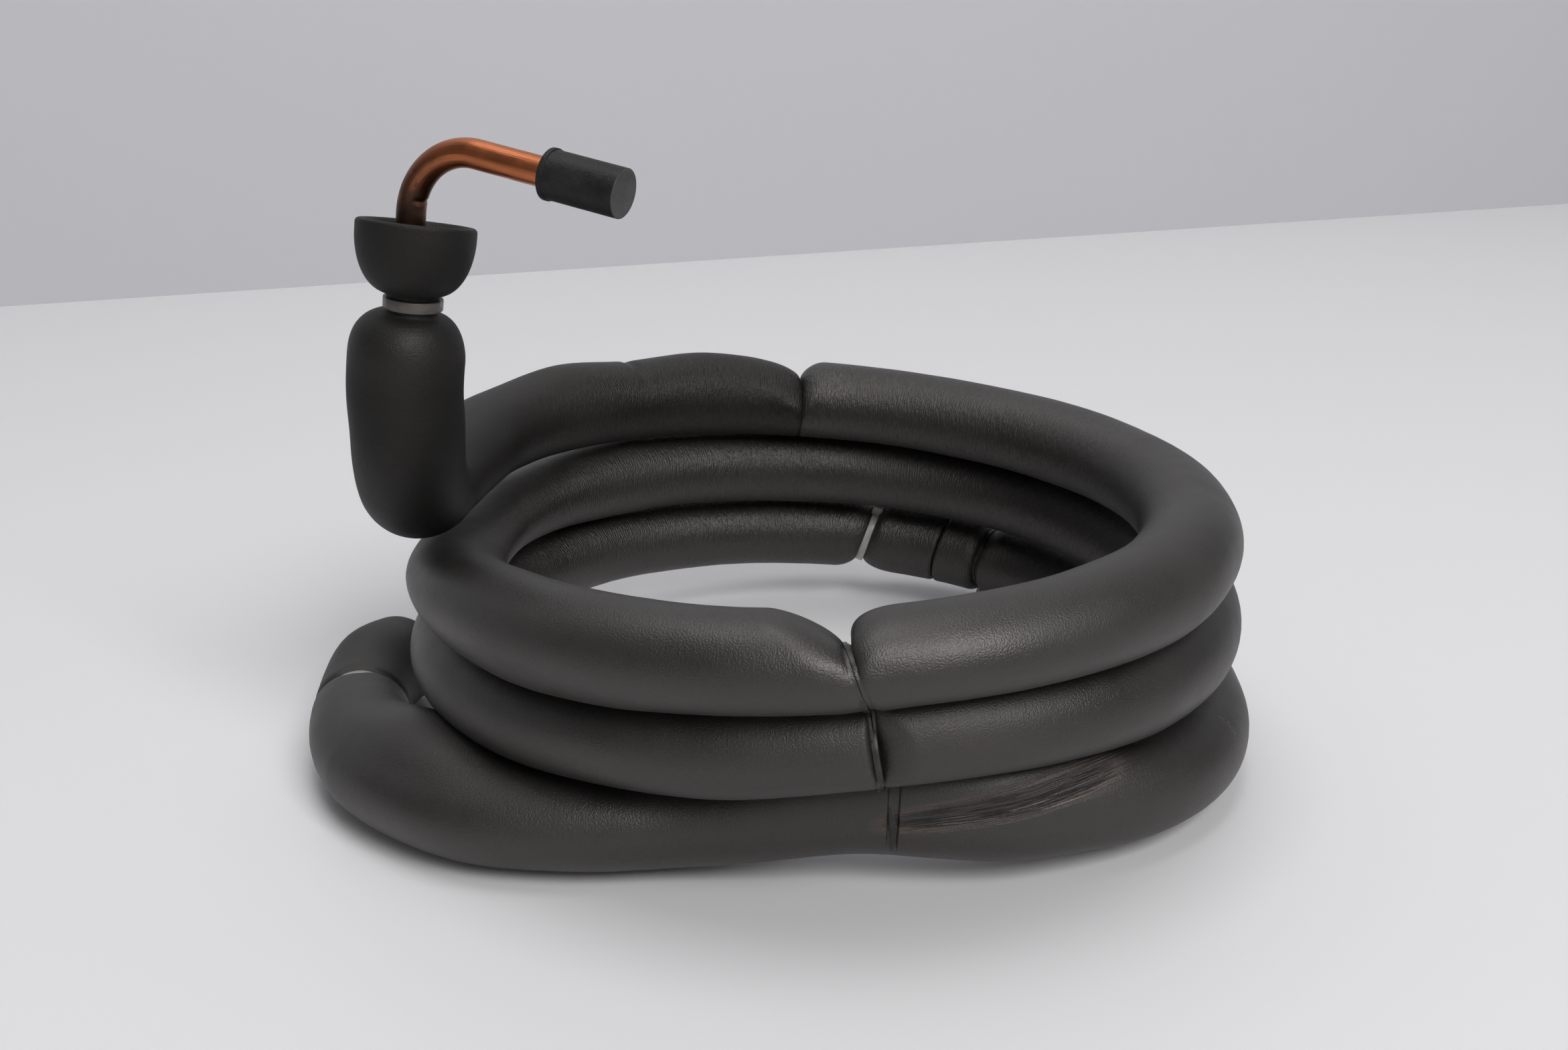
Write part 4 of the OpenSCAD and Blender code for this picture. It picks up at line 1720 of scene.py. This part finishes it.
@dataclass(frozen=True)
class RubberFinish:
    """Moulded rubber: a dark, smoother barrel or a paler, more matte closed end."""

    name: str
    dark: Colour
    light: Colour
    roughness: float
    specular: float
    cloud_scale: float = 190.0
    grain_scale: float = 1700.0
    grain_depth: float = 0.00012

    def material(self) -> bpy.types.Material:
        """The finish as a material."""
        g = Graph.new(self.name)
        place = g.object_place()
        cloud = g.noise(place, self.cloud_scale, 4.0)
        grain = g.noise(place, self.grain_scale, 2.0)
        both = g.math("ADD", g.math("MULTIPLY", cloud, 0.6), g.math("MULTIPLY", grain, 0.4))
        g.surface("Base Color", g.mix(g.spread(both, 0.38, 0.62), self.dark, self.light))
        g.surface("Roughness", g.spread(cloud, 0.3, 0.7, self.roughness - 0.06, self.roughness + 0.08))
        g.surface("Specular IOR Level", self.specular)
        g.surface("Normal", g.bump(grain, self.grain_depth))
        return g.material


@dataclass(frozen=True)
class TieFinish:
    """Cloudy clear nylon, which shows the dark foam through it; a darker copy is painted for shade on ties
    deep in the foam.
    """

    name: str = "cloudy_nylon"
    colour: Colour = (0.62, 0.61, 0.58, 1.0)
    alpha: float = 0.6
    roughness: float = 0.33
    faded_share: float = 0.72
    cloud_scale: float = 160.0
    cloud_depth: float = 0.0001

    def material(self) -> bpy.types.Material:
        """The finish as a material."""
        g = Graph.new(self.name)
        cloud = g.noise(g.object_place(), self.cloud_scale, 2.0)
        faded = tuple(self.faded_share * c for c in self.colour[:3]) + (1.0,)
        g.surface("Base Color", g.mix(g.spread(cloud, 0.35, 0.65), faded, self.colour))
        g.surface("Roughness", g.spread(cloud, 0.3, 0.7, self.roughness - 0.06, self.roughness + 0.1))
        g.surface("Alpha", self.alpha)
        g.surface("Normal", g.bump(cloud, self.cloud_depth))
        return g.material


@dataclass(frozen=True)
class Lamp:
    """A soft square lamp: its place and its side in metres, and its power in watts."""

    name: str
    place: tuple[float, float, float]
    side: float
    watts: float
    aim: tuple[float, float, float] = (0.0, 0.0, 0.08)

    def hang(self) -> None:
        """Hangs the lamp so that it faces the object."""
        light = bpy.data.lights.new(self.name, "AREA")
        light.size = self.side
        light.energy = self.watts
        lamp = bpy.data.objects.new(self.name, light)
        lamp.location = self.place
        lamp.rotation_euler = (Vector(self.aim) - Vector(self.place)).to_track_quat("-Z", "Y").to_euler()
        bpy.context.collection.objects.link(lamp)


@dataclass(frozen=True)
class Studio:
    """Floor, light and camera about the object.

    Attributes:
        focal_px: the lens, in pixels of a picture image_width_px wide.
        target: the point that the camera looks at, in millimetres about the coil's axis.
        distance: how far the camera is from it, in millimetres.
        pitch: how far the camera looks down, and roll, how far it is tilted, in degrees.
        floor_half: half the side of the floor and of the wall, in metres.
        wall_left: a point at the wall's foot, in metres, and wall_right, another.
        room_colour: the light that the room gives from all round, at room_strength.
    """

    focal_px: float = 2478.4
    image_width_px: float = 2342.0
    sensor: float = 36.0
    target: tuple[float, float, float] = (-16.815, 0.0, 85.366)
    distance: float = 601.0
    pitch: float = 19.187
    roll: float = -0.865
    floor_half: float = 4.0
    floor_colour: Colour = (0.73, 0.72, 0.73, 1.0)
    wall_colour: Colour = (0.55, 0.55, 0.573, 1.0)
    wall_left: tuple[float, float] = (-0.686, 0.829)
    wall_right: tuple[float, float] = (0.845, 1.270)
    sheet_roughness: float = 0.5
    sheet_paler_share: float = 1.02
    room_colour: Colour = (0.96, 0.97, 1.0, 1.0)
    room_strength: float = 0.15
    lamps: tuple[Lamp, ...] = (
        Lamp("key", (1.4, -2.3, 2.5), 1.7, 92.0),
        Lamp("top", (-0.16, 0.1, 3.2), 1.7, 34.0),
        Lamp("front", (-0.5, -3.5, 1.4), 2.2, 6.0),
    )

    def camera(self, placement: Placement) -> None:
        """Stands the camera where the photograph was taken from.

        Args:
            placement: turns points about the coil's axis into points of the frame.
        """
        e, roll = math.radians(self.pitch), math.radians(self.roll)
        ahead = np.array([0.0, math.cos(e), -math.sin(e)])
        up = np.array([0.0, math.sin(e), math.cos(e)])
        turned_right = X_AXIS * math.cos(roll) + up * math.sin(roll)
        turned_up = up * math.cos(roll) - X_AXIS * math.sin(roll)
        spot = placement.place(np.array(self.target) - self.distance * ahead)
        lens = bpy.data.cameras.new("photo_camera")
        lens.sensor_width = self.sensor
        lens.lens = self.focal_px / self.image_width_px * self.sensor
        lens.clip_start = 0.01
        view = bpy.data.objects.new("photo_camera", lens)
        turn = Matrix((Vector(turned_right), Vector(turned_up), Vector(-ahead))).transposed().to_4x4()
        view.matrix_world = Matrix.Translation(Vector(spot)) @ turn
        bpy.context.collection.objects.link(view)
        bpy.context.scene.camera = view

    def sheet(self, name: str, colour: Colour) -> bpy.types.Object:
        """Makes a plain pale sheet.

        Args:
            name: the sheet's name.
            colour: its colour.

        Returns:
            The sheet, lying flat at the origin.
        """
        Workbench.clear()
        bpy.ops.mesh.primitive_plane_add(size=2 * self.floor_half)
        sheet = bpy.context.object
        sheet.name = name
        g = Graph.new(name)
        cloud = g.noise(g.object_place(), 3.0, 2.0)
        paler = tuple(min(1.0, self.sheet_paler_share * c) for c in colour[:3]) + (1.0,)
        g.surface("Base Color", g.mix(cloud, colour, paler))
        g.surface("Roughness", self.sheet_roughness)
        sheet.data.materials.append(g.material)
        return sheet

    def room(self) -> None:
        """Lays a pale floor and stands a pale wall behind it."""
        self.sheet("floor", self.floor_colour)
        wall = self.sheet("wall", self.wall_colour)
        left, right = Vector((*self.wall_left, 0.0)), Vector((*self.wall_right, 0.0))
        along = (right - left).normalized()
        up = Vector(Z_AXIS)
        turn = Matrix((along, up, along.cross(up))).transposed().to_4x4()
        wall.matrix_world = Matrix.Translation((left + right) / 2) @ turn

    def light(self) -> None:
        """Lights the scene from a pale room and soft lamps."""
        world = bpy.data.worlds.new("pale_room")
        world.use_nodes = True
        bpy.context.scene.world = world
        back = world.node_tree.nodes["Background"]
        back.inputs["Color"].default_value = self.room_colour
        back.inputs["Strength"].default_value = self.room_strength
        for lamp in self.lamps:
            lamp.hang()
        bpy.context.scene.view_settings.view_transform = "Standard"


BUTTED = EndShape(0.90, 0.05, 2.2, lean=8.0)
BACK_SHUT = EndShape(0.95, 0.05, 1.8)
FRONT_SHUT = EndShape(0.96, 1.0, 3.0)
MIDDLE_SHUT = EndShape(0.98, 0.05, 1.0)
TAIL_SHUT = EndShape(0.92, 0.05, 3.0)
LOW_SHUT = EndShape(0.80, 1.2, 4.0)

UPPER_CREASE = Hollow(turn=258.0, half_run=95.0, depth=4.4, side=-80.0, half_side=75.0)
UNDER_UPPER = Hollow(turn=616.0, half_run=95.0, depth=-4.4, side=80.0, half_side=75.0)
LOWER_CREASE = Hollow(turn=612.0, half_run=85.0, depth=7.4, side=-80.0, half_side=75.0)
UNDER_LOWER = Hollow(turn=969.0, half_run=85.0, depth=-7.4, side=80.0, half_side=75.0)
LEFT_CREASE = Hollow(turn=314.0, half_run=60.0, depth=-1.7, side=-80.0, half_side=70.0)
UNDER_LEFT = Hollow(turn=674.0, half_run=60.0, depth=1.7, side=80.0, half_side=70.0)

SLEEVES = (
    FoamSleeve(
        "foam_top", 86.0, 270.0,
        EndShape(0.42, 0.1, 10.0, BACK_SHUT, 100.0, 110.0),
        EndShape(0.33, 1.2, 19.0, FRONT_SHUT, 115.0, 115.0, 18.0, 9.0, fullness=2.3),
        hollows=(UPPER_CREASE,),
    ),
    FoamSleeve(
        "foam_middle", 270.0, 625.8,
        EndShape(0.33, 1.2, 21.0, EndShape(0.96, 1.0, 8.0), 115.0, 115.0, 18.0, 9.0, fullness=1.6),
        EndShape(0.63, 1.0, 10.0, MIDDLE_SHUT, 15.0, 58.0, 7.0, fullness=1.5),
        hollows=(UPPER_CREASE, UNDER_UPPER, LOWER_CREASE, LEFT_CREASE),
    ),
    FoamSleeve(
        "foam_lower", 625.8, 818.5,
        EndShape(0.76, 1.0, 2.2, MIDDLE_SHUT, 12.0, 50.0, 7.0), EndShape(0.66, 1.4, 11.0, lean=16.0),
        hollows=(UNDER_UPPER, LOWER_CREASE, UNDER_LEFT),
    ),
    FoamSleeve(
        "foam_collar_long", 818.5, 832.5,
        EndShape(0.62, 1.4, 17.0, EndShape(0.74, 1.4, 5.0), 265.0, 120.0, lean=16.0), BUTTED,
    ),
    FoamSleeve(
        "foam_collar_short", 832.5, 841.0,
        BUTTED, EndShape(0.62, 0.9, 7.0, LOW_SHUT, 95.0, 95.0),
    ),
    FoamSleeve(
        "foam_bottom", 841.0, 1078.0,
        EndShape(0.62, 0.9, 9.0, LOW_SHUT, 95.0, 95.0),
        EndShape(0.80, 0.8, 4.0, TAIL_SHUT, 88.0, 26.0),
        hollows=(
            UNDER_LOWER,
            Hollow(turn=980.6, half_run=45.0, depth=1.0),
            Hollow(turn=980.6, half_run=2.0, depth=1.0, side=20.0, half_side=95.0, edge=0.3),
            Hollow(turn=1054.0, half_run=54.0, depth=-8.0, side=122.0, half_side=78.0),
            Hollow(turn=964.0, half_run=43.0, depth=1.0, side=32.0, half_side=20.0, edge=0.6, twist=-0.727),
        ),
        scuffs=(
            Hollow(turn=964.0, half_run=43.0, depth=0.0, side=32.0, half_side=20.0, edge=0.5, twist=-0.727),
            Hollow(turn=922.5, half_run=1.2, depth=0.0, side=46.0, half_side=20.0),
        ),
    ),
    FoamSleeve(
        "foam_tail", 1078.0, 1095.0,
        EndShape(0.80, 0.8, 5.0, TAIL_SHUT, 88.0, 26.0), EndShape(0.80, 0.0, 5.0),
        # The tail is painted darker as shade.
        dull_and_shade=1.0,
        hollows=(Hollow(turn=1088.0, half_run=26.0, depth=-3.6, side=56.0, half_side=80.0),),
    ),
)

TIES = (
    CableTie("tie_low_back", 12.0, 106.0, strap_w=3.2, turn=818.5, lean=16.0),
    # This tie is painted dark as the shade of its narrow joint.
    CableTie("tie_low_joint", 12.0, 250.0, strap_w=1.8, turn=841.0, shaded=True),
    CableTie("tie_tail_joint", 12.0, 205.0, strap_w=2.2, tail=5.0, turn=1078.0, rise=2.1),
)

FOAM = FoamFinish("foam_skin", 0.8)
FADED_FOAM = FoamFinish("faded_foam_skin", 0.36)
CAP_BARREL = RubberFinish("cap_barrel", (0.005, 0.005, 0.005, 1.0), (0.016, 0.016, 0.016, 1.0), 0.5, 0.25)
CAP_FACE = RubberFinish("cap_face", (0.050, 0.050, 0.050, 1.0), (0.078, 0.078, 0.077, 1.0), 0.75, 0.4)
NYLON = TieFinish()
# A dark copy of the clear nylon: painted shade for ties deep in the foam.
SHADED_NYLON = TieFinish("shaded_nylon", (0.036, 0.034, 0.032, 1.0))
BROWNISH_NYLON = TieFinish("brownish_nylon", (0.14, 0.126, 0.113, 1.0), 0.75)


def dress(piece: bpy.types.Object, node: str, material: bpy.types.Material | None) -> None:
    """Ties a finished piece to the frame and gives it its finish.

    Args:
        piece: the piece.
        node: the CAD node that it stands for.
        material: its finish, or none where it already has one.
    """
    if material is not None:
        piece.data.materials.clear()
        piece.data.materials.append(material)
    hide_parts(node)
    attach(piece, BODY)
    log.info("%s: %d faces", piece.name, len(piece.data.polygons))


def build_foam(placement: Placement) -> None:
    """Builds the riser's sleeve and the sleeves of the turns."""
    foam, faded = FOAM.material(), FADED_FOAM.material()
    for sleeve in (FoamRiser(), *SLEEVES):
        piece = sleeve.build(placement)
        dress(piece, sleeve.node, faded if isinstance(sleeve, FoamRiser) else foam)


def build_copper(placement: Placement) -> None:
    """Builds the copper tube and the rubber cap on its end."""
    tube = CopperTube()
    dress(tube.build(placement), tube.node, CopperFinish().material())
    cap = EndCap()
    piece = cap.build(placement)
    cap.paint(piece, CAP_BARREL.material(), CAP_FACE.material())
    dress(piece, cap.node, None)


def build_ties(placement: Placement) -> None:
    """Builds the ties: the neck's, those of the turns and the long one at the front."""
    nylon, shaded = NYLON.material(), SHADED_NYLON.material()
    neck = CableTie("tie_neck", RISER.neck_r + NECK_TIE_GAP, 25.0)
    middle = RISER.foot(ROUTE) + RISER.neck_rise * RISER.up
    seat = placement.matrix(middle, np.cross(RISER.up, RISER.leg_out), RISER.up)
    dress(neck.build(seat), neck.node, BROWNISH_NYLON.material())
    for tie in TIES:
        dress(tie.build(tie.seat(placement)), tie.node, shaded if tie.shaded else nylon)
    front = FrontTie("tie_front", 12.0, 0.0)
    # The long front tie is painted dark as the shade of the creases it runs through.
    dress(front.build_loop(placement), front.node, shaded)


def main() -> None:
    """Builds the pieces in order, dresses them and sets up the studio."""
    logging.basicConfig(level=logging.INFO)
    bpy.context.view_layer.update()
    placement = Placement(ROUTE.origin(frame["record"]))
    studio = Studio()
    studio.camera(placement)
    build_foam(placement)
    build_copper(placement)
    build_ties(placement)
    studio.room()
    studio.light()


if __name__ == "__main__":
    main()
